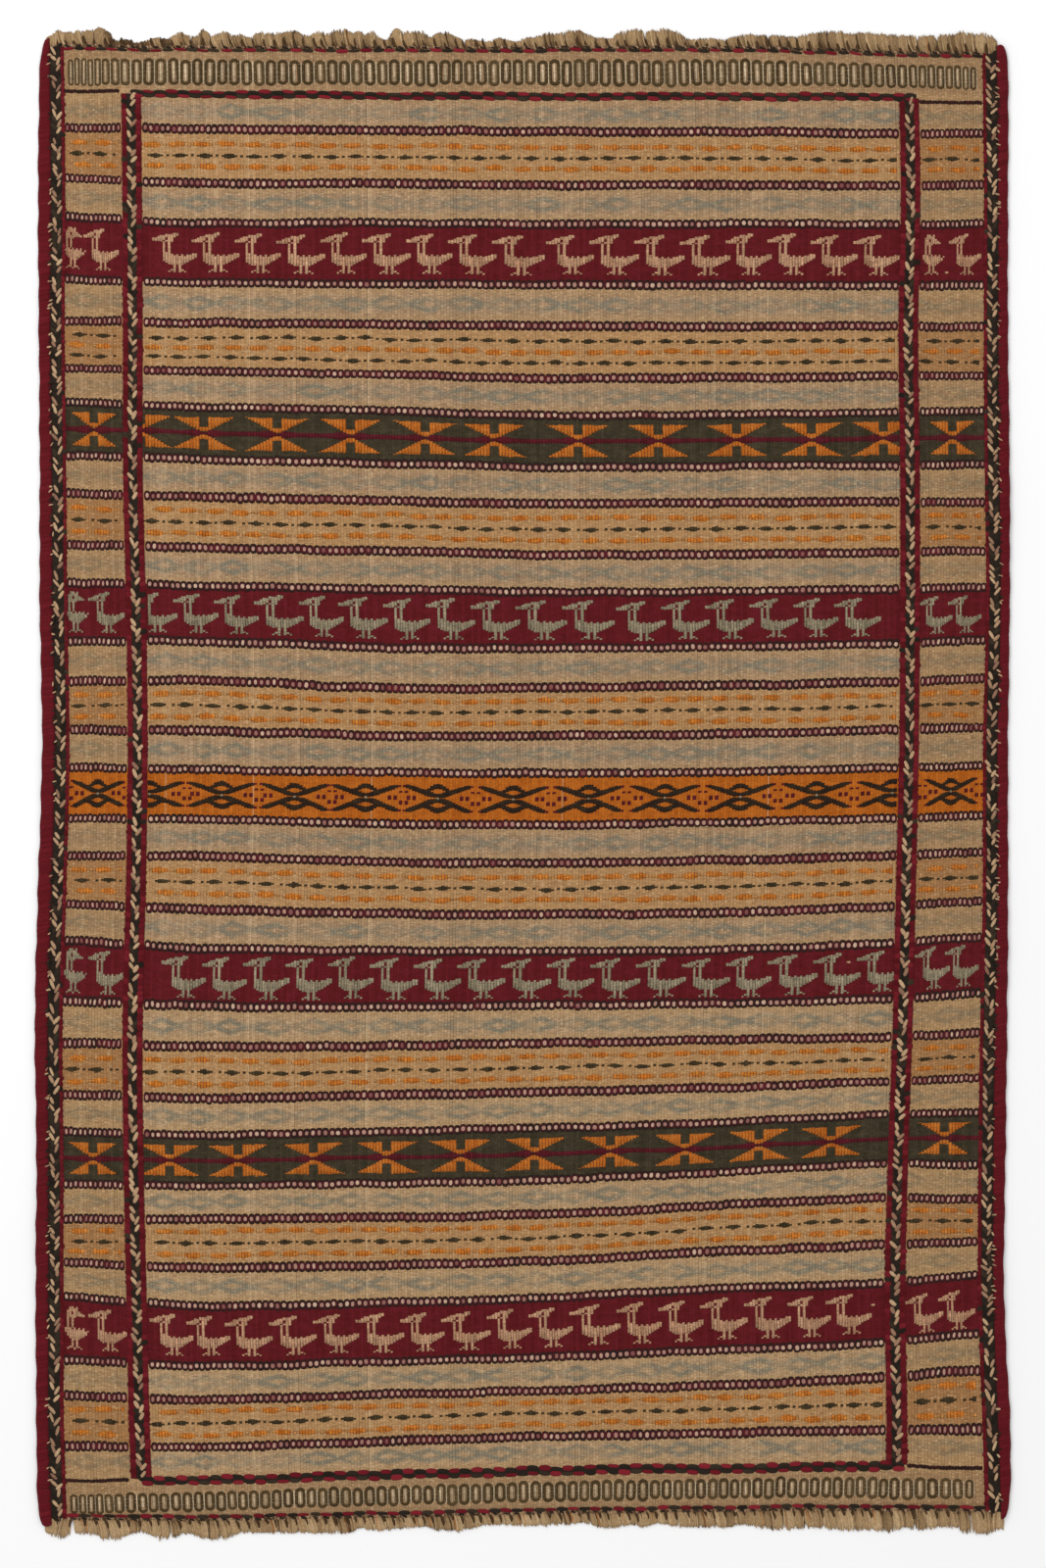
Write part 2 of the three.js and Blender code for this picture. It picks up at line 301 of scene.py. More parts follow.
def padShape(segments, shoulder, fullness):
    # A low round pad with a sloping rim
    bm = bmesh.new()
    bmesh.ops.create_cone(bm, cap_ends=True, segments=segments, radius1=1, radius2=shoulder, depth=1)
    bmesh.ops.translate(bm, vec=(0, 0, 0.5), verts=bm.verts)
    return takeShape(bm, fullness)


def floatShape():
    # One weft float over a warp: a ridge whose rim dips under the face, closed below
    bm = bmesh.new()
    bmesh.ops.create_grid(bm, x_segments=2, y_segments=3, size=1)
    for v in bm.verts:
        v.co.z = 1 if abs(v.co.x) < 0.5 and abs(v.co.y) < 0.9 else 0
    closeRim(bm)
    return takeShape(bm)


def strandShape(rings, sides):
    # A round rod from -1 to 1 along z, in short lengths
    bm = bmesh.new()
    bmesh.ops.create_cone(bm, cap_ends=True, segments=sides, radius1=1, radius2=1, depth=2)
    long = [e for e in bm.edges if abs(e.verts[0].co.z - e.verts[1].co.z) > 1]
    bmesh.ops.subdivide_edges(bm, edges=long, cuts=rings - 1, use_grid_fill=True)
    return takeShape(bm)


def ringShape(steps, sides, thickness):
    # A round ring of unit radius, which layCopies draws out into a long loop
    bm = bmesh.new()
    bmesh.ops.create_circle(bm, segments=sides, radius=thickness)
    bmesh.ops.rotate(bm, verts=bm.verts, cent=(0, 0, 0), matrix=Matrix.Rotation(math.pi / 2, 3, "X"))
    bmesh.ops.translate(bm, verts=bm.verts, vec=(1, 0, 0))
    bmesh.ops.rotate(bm, verts=bm.verts, cent=(0, 0, 0), matrix=Matrix.Rotation(math.pi / steps, 3, "Z"))
    bmesh.ops.spin(bm, geom=bm.edges[:] + bm.verts[:], cent=(0, 0, 0), axis=(0, 0, 1),
                   angle=math.tau, steps=steps, use_merge=True)
    bmesh.ops.remove_doubles(bm, verts=bm.verts, dist=1e-4)
    bmesh.ops.recalc_face_normals(bm, faces=bm.faces)
    return takeShape(bm)


# Meshes of many copies, closed sheets and joined pieces

def meshOfCopies(name, shape, places, wool, materials):
    # places holds the points of each copy, wool the number of its material
    points, groups = shape
    offsets = (np.arange(len(places)) * len(points))[:, None, None]
    faces = [(group[None] + offsets).reshape(-1, group.shape[1]) for group in groups]
    faceWool = np.concatenate([np.repeat(np.asarray(wool, int), len(group)) for group in groups])
    return meshFromArrays(name, places.reshape(-1, 3), faces, materials, faceWool)


def layCopies(name, shape, copies, materials):
    # copies is a table of arrays: u, v, h, wide, long, high, reach, turn in degrees, tone and wool.
    # reach draws the two ends of a shape apart and leaves them their own length.
    count = len(copies["u"])
    across, along, up = shape[0].T[:, None]
    column = {key: np.broadcast_to(copies.get(key, 0.0), count)[:, None]
              for key in ("u", "v", "h", "wide", "long", "high", "reach", "turn", "tone", "wool")}
    x = across * column["wide"] / 2
    y = along * column["long"] / 2 + np.sign(along) * column["reach"]
    turn = np.radians(column["turn"])
    u = column["u"] + x * np.cos(turn) - y * np.sin(turn)
    v = column["v"] + x * np.sin(turn) + y * np.cos(turn)
    places = lay(u, v, up * column["high"] + column["h"])
    piece = meshOfCopies(name, shape, places, column["wool"].ravel(), materials)
    setMap(piece.data, "weave", u, v)
    setMap(piece.data, "yarn", x, y)
    setTone(piece.data, np.repeat(column["tone"], len(shape[0])))
    return piece


class Stitches:
    # Copies of one shape, added one at a time
    def __init__(self):
        self.columns = {}

    def add(self, **values):
        for key, value in values.items():
            self.columns.setdefault(key, []).append(value)

    def lay(self, name, shape, materials):
        return layCopies(name, shape, self.columns, materials)


def gridFaces(columns, rows):
    # The faces of a flat grid, and the column and row of each of its points
    bm = bmesh.new()
    bmesh.ops.create_grid(bm, x_segments=columns, y_segments=rows, size=1)
    points, groups = takeShape(bm)
    column, row = np.rint((points[:, :2] + 1) / 2 * (columns, rows)).astype(int).T
    return groups[0], column, row


def closedSheet(name, quads, top, under, u, v, materials, wool, wallWool):
    # A sheet with its under side, and a wall round the edges that only one face uses
    used = dict.fromkeys((int(a), int(b)) for quad in quads for a, b in zip(quad, np.roll(quad, -1)))
    rim = [(a, b) for a, b in used if (b, a) not in used]
    count = len(top)
    walls = np.array([[b, a, a + count, b + count] for a, b in rim])
    faces = [np.concatenate([quads, quads[:, ::-1] + count, walls])]
    faceWool = np.concatenate([wool, wool, np.full(len(walls), wallWool)])
    piece = meshFromArrays(name, np.concatenate([top, under]), faces, materials, faceWool)
    setMap(piece.data, "weave", np.tile(u, 2), np.tile(v, 2))
    setTone(piece.data, np.full(2 * count, 0.5))
    return piece, walls % count


ribbonDepth = 0.25       # how far a ribbon reaches under its lowest line


def ribbonPiece(name, across, heights, ends, step, placeOf, materials, wools):
    # A closed strip on the face: across holds its lengthwise lines, heights how high each lies,
    # and wools the material between each two of them
    steps = max(2, int(round((ends[1] - ends[0]) / step)))
    quads, column, row = gridFaces(len(across) - 1, steps)
    side = np.asarray(across, float)[column]
    along = ends[0] + (ends[1] - ends[0]) * row / steps
    top = placeOf(side, along, np.asarray(heights, float)[column])
    under = placeOf(side, along, min(heights) - ribbonDepth)
    wool = np.asarray(wools)[column[quads].min(axis=1)]
    piece, _ = closedSheet(name, quads, top, under, side, along, materials, wool, wools[0])
    setMap(piece.data, "yarn", np.tile(side, 2), np.tile(along, 2))
    return piece


def joinPieces(name, parts):
    # One mesh from several, with the wools in the order in which the parts list them
    kept = parts[0]
    if len(parts) > 1:
        with bpy.context.temp_override(active_object=kept, object=kept, selected_objects=parts,
                                       selected_editable_objects=parts):
            bpy.ops.object.join()
    kept.name = name
    kept.data.name = name
    return kept


# Wool finishes

def linear(colour):
    # The colour given in 0 to 255, as Blender's nodes hold it
    shares = [value / 255 for value in colour]
    return (*[s / 12.92 if s <= 0.04045 else ((s + 0.055) / 1.055) ** 2.4 for s in shares], 1.0)


class Nodes:
    # Short ways of adding nodes to one tree
    def __init__(self, tree):
        self.tree = tree

    def add(self, kind, feeds=None, **settings):
        made = self.tree.nodes.new(kind)
        for key, value in settings.items():
            setattr(made, key, value)
        for key, value in (feeds or {}).items():
            if isinstance(value, bpy.types.NodeSocket):
                self.tree.links.new(value, made.inputs[key])
            else:
                made.inputs[key].default_value = value
        return made

    def math(self, operation, *values):
        return self.add("ShaderNodeMath", dict(enumerate(values)), operation=operation).outputs[0]

    def times(self, a, b):
        return self.math("MULTIPLY", a, b)

    def plus(self, a, b):
        return self.math("ADD", a, b)

    def away(self, value, middle=None):
        return self.math("ABSOLUTE", value if middle is None else self.math("SUBTRACT", value, middle))

    def least(self, first, *others):
        for other in others:
            first = self.math("MINIMUM", first, other)
        return first

    def humps(self, value):
        # A row of round humps, one for each whole number
        return self.math("ABSOLUTE", self.math("SINE", self.times(value, math.pi)))

    def chance(self, number):
        return self.add("ShaderNodeTexWhiteNoise", {"W": number}, noise_dimensions="1D").outputs[0]

    def sides(self, place):
        return self.add("ShaderNodeSeparateXYZ", {0: place}).outputs[:2]

    def blend(self, share, a, b, mode="MIX"):
        made = self.add("ShaderNodeMix", {0: share, 6: a, 7: b}, data_type="RGBA", blend_type=mode)
        return made.outputs[2]

    def spread(self, value, fromLow, fromHigh, toLow=0.0, toHigh=1.0, smooth=False):
        feeds = {0: value, 1: fromLow, 2: fromHigh, 3: toLow, 4: toHigh}
        kind = "SMOOTHSTEP" if smooth else "LINEAR"
        return self.add("ShaderNodeMapRange", feeds, interpolation_type=kind, clamp=True).outputs[0]

    def noise(self, place, x, y, detail=2.0, roughness=0.5):
        # Soft patches, x and y of them to the metre
        scaled = self.add("ShaderNodeVectorMath", {0: place, 1: (x, y, 0)}, operation="MULTIPLY").outputs[0]
        feeds = {"Vector": scaled, "Scale": 1.0, "Detail": detail, "Roughness": roughness}
        return self.add("ShaderNodeTexNoise", feeds).outputs[0]


def makeGroup(name, values, maskMaker):
    # A node group with a place and some values in, and out the masks that maskMaker returns
    group = bpy.data.node_groups.new(name, "ShaderNodeTree")
    newSocket = group.interface.new_socket
    newSocket("Place", in_out="INPUT", socket_type="NodeSocketVector")
    for title, value in values.items():
        newSocket(title, in_out="INPUT", socket_type="NodeSocketFloat").default_value = value
    nodes = Nodes(group)
    masks = maskMaker(nodes, nodes.add("NodeGroupInput").outputs)
    for title in masks:
        newSocket(title, in_out="OUTPUT", socket_type="NodeSocketFloat")
    nodes.add("NodeGroupOutput", masks)
    return group


bareWarpPlaces = (-439, -332, -188, 45, 296)      # warps that show as pale lines from end to end


def ribMasks(nodes, feeds):
    # Ribs of a weft-faced cloth: each warp is a rib, and the wefts cross it in brick order
    place = feeds["Place"]
    across, along = nodes.sides(place)
    column = nodes.math("DIVIDE", across, feeds["Rib"])
    number = nodes.math("FLOOR", column)
    row = nodes.plus(nodes.math("DIVIDE", along, feeds["Weft"]), nodes.times(number, 0.5))
    cell = nodes.add("ShaderNodeCombineXYZ", {0: number, 1: nodes.math("FLOOR", row)}).outputs[0]
    rib = nodes.humps(column)
    streak = nodes.times(nodes.noise(place, 160, 5), 0.6)
    bare = nodes.least(*[nodes.away(across, warp * mm) for warp in bareWarpPlaces])
    return {
        "Height": nodes.times(nodes.math("POWER", rib, 0.6),
                              nodes.spread(nodes.humps(row), 0, 1, 0.65, 1.0)),
        "Groove": nodes.spread(rib, 0.0, 0.45, 1.0, 0.0, True),
        "Streak": nodes.plus(nodes.times(nodes.chance(number), 0.4), streak),
        "Speck": nodes.add("ShaderNodeTexWhiteNoise", {"Vector": cell}, noise_dimensions="2D").outputs[0],
        "Thread": nodes.chance(nodes.math("ROUND", column)),
        "Grain": nodes.noise(place, 620, 1000, 3.0, 0.65),
        "Bare": nodes.spread(bare, 0.3 * mm, 0.9 * mm, 1.0, 0.0),
    }


def yarnMasks(nodes, feeds):
    # Plies of a twisted yarn, with fine hairs
    place = feeds["Place"]
    x, y = nodes.sides(place)
    ply = nodes.humps(nodes.math("DIVIDE", nodes.plus(y, nodes.times(x, 0.55)), feeds["Ply"]))
    return {
        "Height": nodes.math("POWER", ply, 0.6),
        "Groove": nodes.spread(ply, 0.0, 0.4, 1.0, 0.0, True),
        "Grain": nodes.noise(place, 900, 500, 3.0, 0.6),
    }


ribGroup = makeGroup("weftFacedRibs", {"Rib": ribWidth * mm, "Weft": 1.0 * mm}, ribMasks)
yarnGroup = makeGroup("twistedYarn", {"Ply": 2.2 * mm}, yarnMasks)
dullWool = {"Roughness": 0.95, "Specular IOR Level": 0.1, "Sheen Weight": 0.02, "Sheen Roughness": 0.5}


def startWool(name, mapName, group):
    # A dull wool's material, with its place on the map, its tone and the masks of its weave or yarn
    material = bpy.data.materials.new(name)
    material.use_nodes = True
    nodes = Nodes(material.node_tree)
    for title, value in dullWool.items():
        nodes.tree.nodes["Principled BSDF"].inputs[title].default_value = value
    place = nodes.add("ShaderNodeUVMap", uv_map=mapName).outputs[0]
    tone = nodes.add("ShaderNodeAttribute", attribute_name="tone").outputs["Fac"]
    return material, nodes, place, tone, nodes.add("ShaderNodeGroup", {0: place}, node_tree=group).outputs


def finishWool(nodes, colour, brightness, height, relief, depth):
    # Brightness scales the colour, height becomes relief
    shader = nodes.tree.nodes["Principled BSDF"]
    grey = nodes.add("ShaderNodeCombineColor", {0: brightness, 1: brightness, 2: brightness}).outputs[0]
    bump = nodes.add("ShaderNodeBump", {"Height": height, "Strength": relief, "Distance": depth * mm})
    nodes.tree.links.new(nodes.blend(1.0, colour, grey, "MULTIPLY"), shader.inputs["Base Color"])
    nodes.tree.links.new(bump.outputs[0], shader.inputs["Normal"])


weaving = {"patches": (55, 120), "mottle": 0.5, "bareWarp": (206, 176, 138), "bareShare": 0.5,
           "groove": (30, 22, 16), "grooveShadeShare": 0.34, "tones": (0.84, 1.16), "relief": 0.6, "depth": 0.5}


def weaveWool(name, base, deep, pale, contrast, paint=None, bareWarps=False):
    # Woven wool: the colour changes from warp to warp and from float to float, with painted shade in the
    # grooves
    material, nodes, place, tone, weave = startWool(name, "weave", ribGroup)
    colour = nodes.blend(nodes.spread(weave["Streak"], 0.3, 0.7), linear(deep), linear(base))
    patches = nodes.spread(nodes.noise(place, *weaving["patches"], 3.0, 0.6), 0.45, 0.75)
    colour = nodes.blend(nodes.times(patches, weaving["mottle"]), colour, linear(pale))
    if paint:
        colour = paint(nodes, place, weave, colour)
    if bareWarps:
        bare = nodes.times(weave["Bare"], weaving["bareShare"])
        colour = nodes.blend(bare, colour, linear(weaving["bareWarp"]))
    # Painted shade: the grooves between the ribs are painted darker
    groove = nodes.times(weave["Groove"], weaving["grooveShadeShare"])
    colour = nodes.blend(groove, colour, linear(weaving["groove"]))
    speck = nodes.spread(weave["Speck"], 0, 1, 1 - contrast, 1 + contrast)
    grain = nodes.spread(weave["Grain"], 0.3, 0.7, 1 - contrast, 1 + contrast)
    brightness = nodes.times(nodes.times(speck, grain), nodes.spread(tone, 0, 1, *weaving["tones"]))
    height = nodes.plus(weave["Height"], nodes.times(weave["Grain"], 0.6))
    finishWool(nodes, colour, brightness, height, weaving["relief"], weaving["depth"])
    return material


spinning = {"groove": (30, 20, 16), "grain": (0.72, 1.28), "depth": 0.4, "fibres": (1500, 170)}


def yarnWool(name, base, deep, pale, relief, grooveShadeShare, paint=None, frayed=False):
    # A yarn of one colour, its tone changing from stitch to stitch
    material, nodes, place, tone, yarn = startWool(name, "yarn", yarnGroup)
    colour = nodes.blend(nodes.spread(tone, 0.0, 0.5), linear(deep), linear(base))
    colour = nodes.blend(nodes.spread(tone, 0.5, 1.0), colour, linear(pale))
    if paint:
        colour = paint(nodes, place, colour)
    # Painted shade: the grooves between the plies are painted darker
    colour = nodes.blend(nodes.times(yarn["Groove"], grooveShadeShare), colour, linear(spinning["groove"]))
    brightness = nodes.spread(yarn["Grain"], 0.3, 0.7, *spinning["grain"])
    height = nodes.plus(yarn["Height"], yarn["Grain"])
    if frayed:
        # Fibres run along the lock in place of plies across it
        fibres = nodes.noise(place, *spinning["fibres"], 3.0, 0.6)
        brightness = nodes.times(brightness, nodes.spread(fibres, 0.32, 0.68, *spinning["grain"]))
        height = nodes.plus(nodes.times(fibres, 2.0), yarn["Grain"])
    finishWool(nodes, colour, brightness, height, relief, spinning["depth"])
    return material


# The plain stripes and dashed bands. The zigzags hold where each starts and how far it swings.
ground = {"lower": (188, 155, 112), "zigzag": (120, 115, 98), "zigzags": ((0.0, 7.4), (46, 6.4)), "swing": 46,
          "border": (152, 114, 68), "beside": (172, 136, 94), "ends": (140, 110, 80),
          "dashed": (176, 133, 87), "dashedBorder": (158, 112, 68), "paleFloat": (206, 176, 138),
          "rustFloat": (150, 96, 66), "lightWarp": (214, 186, 148), "darkWarp": (70, 56, 42)}


def paintGround(nodes, place, weave, colour):
    def tint(share, name):
        return nodes.blend(share, colour, linear(ground[name]))

    across, along = nodes.sides(place)
    # Painted light: the wool is painted lighter towards the bottom end, offsetting the lamp's fall-off there
    colour = tint(nodes.spread(along, -100 * mm, -380 * mm, 0.0, 0.42, True), "lower")
    # Blue-grey crossing zigzags wander down the middle of the plain stripes
    band = nodes.add("ShaderNodeUVMap", uv_map="band").outputs[0]
    run, offset = nodes.sides(band)
    run = nodes.plus(run, nodes.times(nodes.noise(band, 7, 3), 0.05))
    ragged = nodes.math("SUBTRACT", nodes.noise(place, 240, 480, 2.0, 0.7), 0.5)
    lines = []
    for start, reach in ground["zigzags"]:
        swing = nodes.math("PINGPONG", nodes.plus(run, start * mm), ground["swing"] * mm)
        middle = nodes.spread(swing, 0.0, ground["swing"] * mm, -reach * mm, reach * mm)
        lines.append(nodes.away(offset, middle))
    edge = nodes.plus(nodes.least(*lines), nodes.times(ragged, 8 * mm))
    near = nodes.spread(edge, 1.0 * mm, 5.4 * mm, 1.0, 0.0, True)
    patchy = nodes.spread(nodes.noise(place, 24, 20), 0.36, 0.6, 0.45, 1.0, True)
    colour = tint(nodes.times(nodes.times(near, patchy), 0.85), "zigzag")
    # The side borders are yellower than the field, and the wool is warmer beside the bead lines
    border = nodes.spread(nodes.away(across), 476 * mm, 482 * mm, 0.0, 1.0, True)
    colour = tint(nodes.times(border, 0.4), "border")
    away = nodes.away(offset)
    colour = tint(nodes.spread(away, 8 * mm, 16 * mm, 0.0, 0.5, True), "beside")
    colour = tint(nodes.spread(away, 26 * mm, 32 * mm, 0.0, 0.5), "ends")
    dashed = nodes.blend(border, linear(ground["dashed"]), linear(ground["dashedBorder"]))
    colour = nodes.blend(nodes.spread(away, 0.5, 0.6, 0.0, 0.75), colour, dashed)
    # Single floats of paler and rusty wool, and warps that show as light or dark lines
    colour = tint(nodes.spread(weave["Speck"], 0.90, 0.93, 0.0, 0.2), "paleFloat")
    colour = tint(nodes.spread(weave["Speck"], 0.07, 0.05, 0.0, 0.3), "rustFloat")
    light = nodes.times(nodes.spread(weave["Thread"], 0.90, 0.92), weave["Groove"])
    colour = tint(nodes.times(light, 0.8), "lightWarp")
    dark = nodes.times(nodes.spread(weave["Thread"], 0.12, 0.09), weave["Groove"])
    return tint(nodes.times(dark, 0.45), "darkWarp")


def paintRing(nodes, place, colour):
    # Dark above and below, maroon between the hearts
    away = nodes.away(nodes.sides(place)[1])
    return nodes.blend(nodes.spread(away, 3.2 * mm, 4.4 * mm), colour, linear((40, 28, 24)))


# Base, deep and pale colour of each woven wool, and how much it varies
wovenWools = {
    "groundWool": ((168, 137, 105), (149, 122, 93), (184, 152, 119), 0.19, paintGround, True),
    "maroonWool": ((96, 24, 29), (86, 18, 22), (110, 30, 42), 0.14),
    "greenWool": ((62, 54, 39), (52, 46, 32), (82, 72, 52), 0.22),
    "orangeWool": ((178, 97, 28), (164, 84, 20), (192, 110, 40), 0.16, None, True),
    "tanFloat": ((188, 145, 114), (170, 125, 95), (204, 166, 128), 0.25),
    "greyFloat": ((150, 136, 112), (130, 118, 94), (166, 152, 124), 0.25),
    "orangeFloat": ((190, 108, 38), (172, 90, 26), (204, 128, 56), 0.18),
    "dashFloat": ((194, 118, 44), (180, 98, 30), (196, 136, 72), 0.3),
    "blackFloat": ((50, 36, 24), (40, 28, 20), (70, 54, 34), 0.2),
    "oliveFloat": ((66, 54, 34), (52, 42, 26), (84, 68, 44), 0.25),
    "plumFloat": ((92, 24, 32), (76, 20, 26), (104, 32, 48), 0.2),
    "paleFloat": ((196, 174, 142), (168, 148, 118), (214, 194, 162), 0.25),
    "linkFloat": ((184, 129, 74), (170, 116, 62), (192, 144, 98), 0.3),
}
# Base, deep and pale colour of each yarn, its relief, and how strong the painted shade in its grooves is
yarns = {
    "beadWool": ((170, 130, 115), (126, 76, 72), (200, 168, 144), 0.3, 0.1),
    "ringWool": ((72, 28, 31), (46, 28, 25), (92, 30, 37), 0.3, 0.1, paintRing),
    "darkYarn": ((48, 27, 24), (36, 22, 19), (64, 28, 28), 0.3, 0.1),
    "creamYarn": ((176, 142, 110), (132, 96, 78), (200, 168, 130), 0.5, 0.22),
    "blackYarn": ((42, 34, 27), (32, 25, 20), (58, 48, 36), 0.4, 0.2),
    "maroonYarn": ((94, 20, 27), (80, 14, 19), (112, 28, 36), 0.4, 0.2),
    "redYarn": ((112, 24, 34), (92, 18, 26), (132, 36, 44), 0.4, 0.2),
    "oliveYarn": ((76, 61, 36), (62, 48, 27), (94, 76, 48), 0.4, 0.2),
    "cordYarn": ((126, 96, 74), (58, 42, 32), (170, 138, 110), 0.4, 0.2),
    "fringeWool": ((160, 130, 93), (74, 53, 32), (200, 170, 130), 0.9, 0.0, None, True),
    "rustWool": ((164, 110, 66), (104, 68, 38), (184, 132, 86), 0.9, 0.0, None, True),
}
wools = {name: weaveWool(name, *look) for name, look in wovenWools.items()}
wools.update({name: yarnWool(name, *look) for name, look in yarns.items()})


def pick(*names):
    return [wools[name] for name in names]


print("wools made")


# The cloth itself

bandWool = {"dashes": 0, "birds": 1, "crosses": 2, "eyes": 3}
clothShape = {"left": -578.2, "right": 581.2, "top": 902.5, "bottom": -891.5, "columns": 64,
              "rowStep": 12, "thickness": 2.7, "faceUnder": 0.1, "plainAbove": 799, "topStripe": 820.0,
              "bottomStripe": -818.0, "bandMiddle": 2000.0, "wallOffset": 1000.0}


def clothRows():
    marks = sorted({clothShape[end] for end in ("top", "bottom")} | {band[end] for band in bands
                                                                    for end in ("top", "bottom")})
    rows = [marks[0]]
    for low, high in zip(marks, marks[1:]):
        steps = max(1, round((high - low) / clothShape["rowStep"]))
        rows += [low + (high - low) * (i + 1) / steps for i in range(steps)]
    return np.array(rows, float)


def stripeOf(v):
    # The wool of the stripe at v, and where the stripe's middle lies, far off for a band
    for band in bands:
        if band["bottom"] < v < band["top"]:
            return bandWool[band["kind"]], clothShape["bandMiddle"]
    for upper, lower in zip(bands, bands[1:]):
        if lower["top"] < v < upper["bottom"]:
            return 0, (lower["top"] + upper["bottom"]) / 2
    return 0, clothShape["topStripe" if v > clothShape["plainAbove"] else "bottomStripe"]


def makeCloth():
    rows = clothRows()
    quads, column, row = gridFaces(clothShape["columns"], len(rows) - 1)
    u = clothShape["left"] + (clothShape["right"] - clothShape["left"]) * column / clothShape["columns"]
    v = rows[row]
    top = lay(u, v, -clothShape["faceUnder"])
    under = lay(u, v, -clothShape["faceUnder"] - clothShape["thickness"])
    wool, middles = np.array([stripeOf(v[quad].mean()) for quad in quads]).T
    woven = pick("groundWool", "maroonWool", "greenWool", "orangeWool")
    piece, walls = closedSheet("kilim_weave", quads, top, under, u, v, woven, wool, 0)
    # How far each corner lies from the middle of its stripe
    offsets = v[quads] - middles[:, None]
    offsets = np.concatenate([offsets, offsets[:, ::-1], np.full(walls.shape, clothShape["wallOffset"])])
    setMap(piece.data, "band", u[np.concatenate([quads, quads[:, ::-1], walls])], offsets, onCorners=True)
    return keepPiece(piece, "ground_wool", "kilim_cloth")


cloth = makeCloth()
print("cloth woven")


# Bead lines: light hearts in dark rings, two warps wide

beads = {"seed": 21, "borderPitch": 6.4, "inset": 1.5, "overlap": 1.2, "ringHigh": 0.5, "heartHigh": 0.55,
         "plain": {"ring": 13.2, "heart": (4.6, 6.6), "borderHeart": (3.9, 7.6)},
         "figured": {"ring": 12.6, "heart": (5.0, 6.2), "borderHeart": (4.2, 6.6)}}
# The pitch of the beads changes across the rug with that of the warps
beadPitches = {"columns": ["across", "pitch"],
               "rows": [[-460, 6.9], [-400, 7.0], [-280, 7.8], [-160, 7.7], [-40, 7.5], [80, 8.0], [200, 7.7],
                        [320, 8.0], [440, 7.2]]}
braidHalf = {"outer": 8.2, "inner": 12.3}
# The field and its two borders, between the braids
leftZone = {"left": nominal["outerLeft"] + braidHalf["outer"],
            "right": nominal["innerLeft"] - braidHalf["inner"]}
centreZone = {"left": nominal["innerLeft"] + braidHalf["inner"],
              "right": nominal["innerRight"] - braidHalf["inner"]}
rightZone = {"left": nominal["innerRight"] + braidHalf["inner"],
             "right": nominal["outerRight"] - braidHalf["outer"]}
zones = [leftZone, centreZone, rightZone]


def makeBeads():
    rng = np.random.default_rng(beads["seed"])
    pitchAt = curveThrough(beadPitches, "pitch")
    rows = []
    for zone in zones:
        border = zone is not centreZone
        edges = [zone["left"] + beads["inset"]]
        while edges[-1] < zone["right"] - beads["inset"]:
            edges.append(edges[-1] + (beads["borderPitch"] if border else float(pitchAt(edges[-1]))))
        edges = np.array(edges)
        span = zone["right"] - zone["left"] - 2 * beads["inset"]
        edges = edges[0] + (edges - edges[0]) * span / (edges[-1] - edges[0])
        for band in bands:
            plain = band["kind"] == "dashes"
            sizes = beads["plain" if plain else "figured"]
            for end in ("top", "bottom"):
                rows += [[(low + high) / 2, band[end], high - low, sizes["ring"],
                          *sizes["borderHeart" if border else "heart"], plain]
                         for low, high in zip(edges, edges[1:])]
    u, v, pitch, ringLong, heartWide, heartLong, plain = np.array(rows, float).T
    count = len(rows)
    u = u + rng.normal(0, 0.25, count)
    v = v + rng.normal(0, 0.3, count)
    rings = {"u": u, "v": v, "h": -0.15, "wide": pitch * beads["overlap"],
             "long": ringLong + rng.normal(0, 0.3, count), "high": beads["ringHigh"],
             "tone": np.clip(rng.normal(np.where(plain, 0.5, 0.3), 0.2), 0, 1)}
    keepPiece(layCopies("bead_rings", padShape(10, 0.8, 0.72), rings, pick("ringWool")), "ground_wool")
    hearts = {"u": u + rng.normal(0, 0.2, count), "v": v + rng.normal(0, 0.25, count),
              "h": beads["ringHigh"] - 0.2,
              "wide": heartWide * pitch / (2 * ribWidth) * rng.uniform(0.82, 1.1, count),
              "long": heartLong * rng.uniform(0.85, 1.1, count), "high": beads["heartHigh"],
              "turn": rng.normal(-4, 7, count),
              "tone": np.clip(rng.normal(np.where(plain, 0.42, 0.6), 0.22), 0, 1)}
    keepPiece(layCopies("bead_hearts", domeShape(8, 2, 0.85), hearts, pick("beadWool")), "ground_wool")


makeBeads()
print("beads laid")


# Floats of the figures: one raised ridge for each warp

class Floats:
    def __init__(self):
        self.rows = []

    def add(self, u, low, high, wool, width=ribWidth, tone=0.5):
        if high - low > 0.5:
            self.rows.append((u, low, high, wool, width, tone))

    def keep(self, name, *names):
        u, low, high, wool, width, tone = np.array(self.rows, float).T
        copies = {"u": u, "v": (low + high) / 2, "h": -0.2, "wide": width * 1.45, "long": 0.9,
                  "reach": (high - low) / 2 - 0.3, "high": 0.55, "wool": wool, "tone": tone}
        keepPiece(layCopies(name, floatShape(), copies, pick(*names)), "ground_wool")


# Charts, a sign for each warp and each two wefts, drawn from the top down
birdChart = [
    "........##.......",
    ".....#####.......",
    "...######........",
    "..###.##.........",
    "#####.##.........",
    "####.###.........",
    "....#.#..........",
    "....#.#..........",
    "....#.#..........",
    "....#.#..........",
    "....#.#..........",
    "....#.#..........",
    "....#.#..........",
    "....###........##",
    "....####.#.#.####",
    "....#############",
    "....############.",
    "....###########..",
    "....##########...",
    ".....########....",
    "......######.....",
    "........#.#......",
    "........#.#......",
    "........#.#......",
    ".......##.##.....",
    "......#.#.#.#....",
]
turnedBirdChart = [
    "..##.#......",
    "..####......",
    ".#####......",
    ".##.###.....",
    ".##.####....",
    ".########...",
    ".####.......",
    ".#.#........",
    ".#.#........",
    ".#.#........",
    ".#.#........",
    ".#.#........",
    ".#.#........",
    "###.#.#.#...",
    "#########.#.",
    "##########..",
    ".#########..",
    ".########...",
    "..######....",
    "...####.....",
    "...#.#......",
    "...#.#......",
    "...#.#......",
    "...#.#......",
    "..##.##.....",
    ".#..#..#....",
]
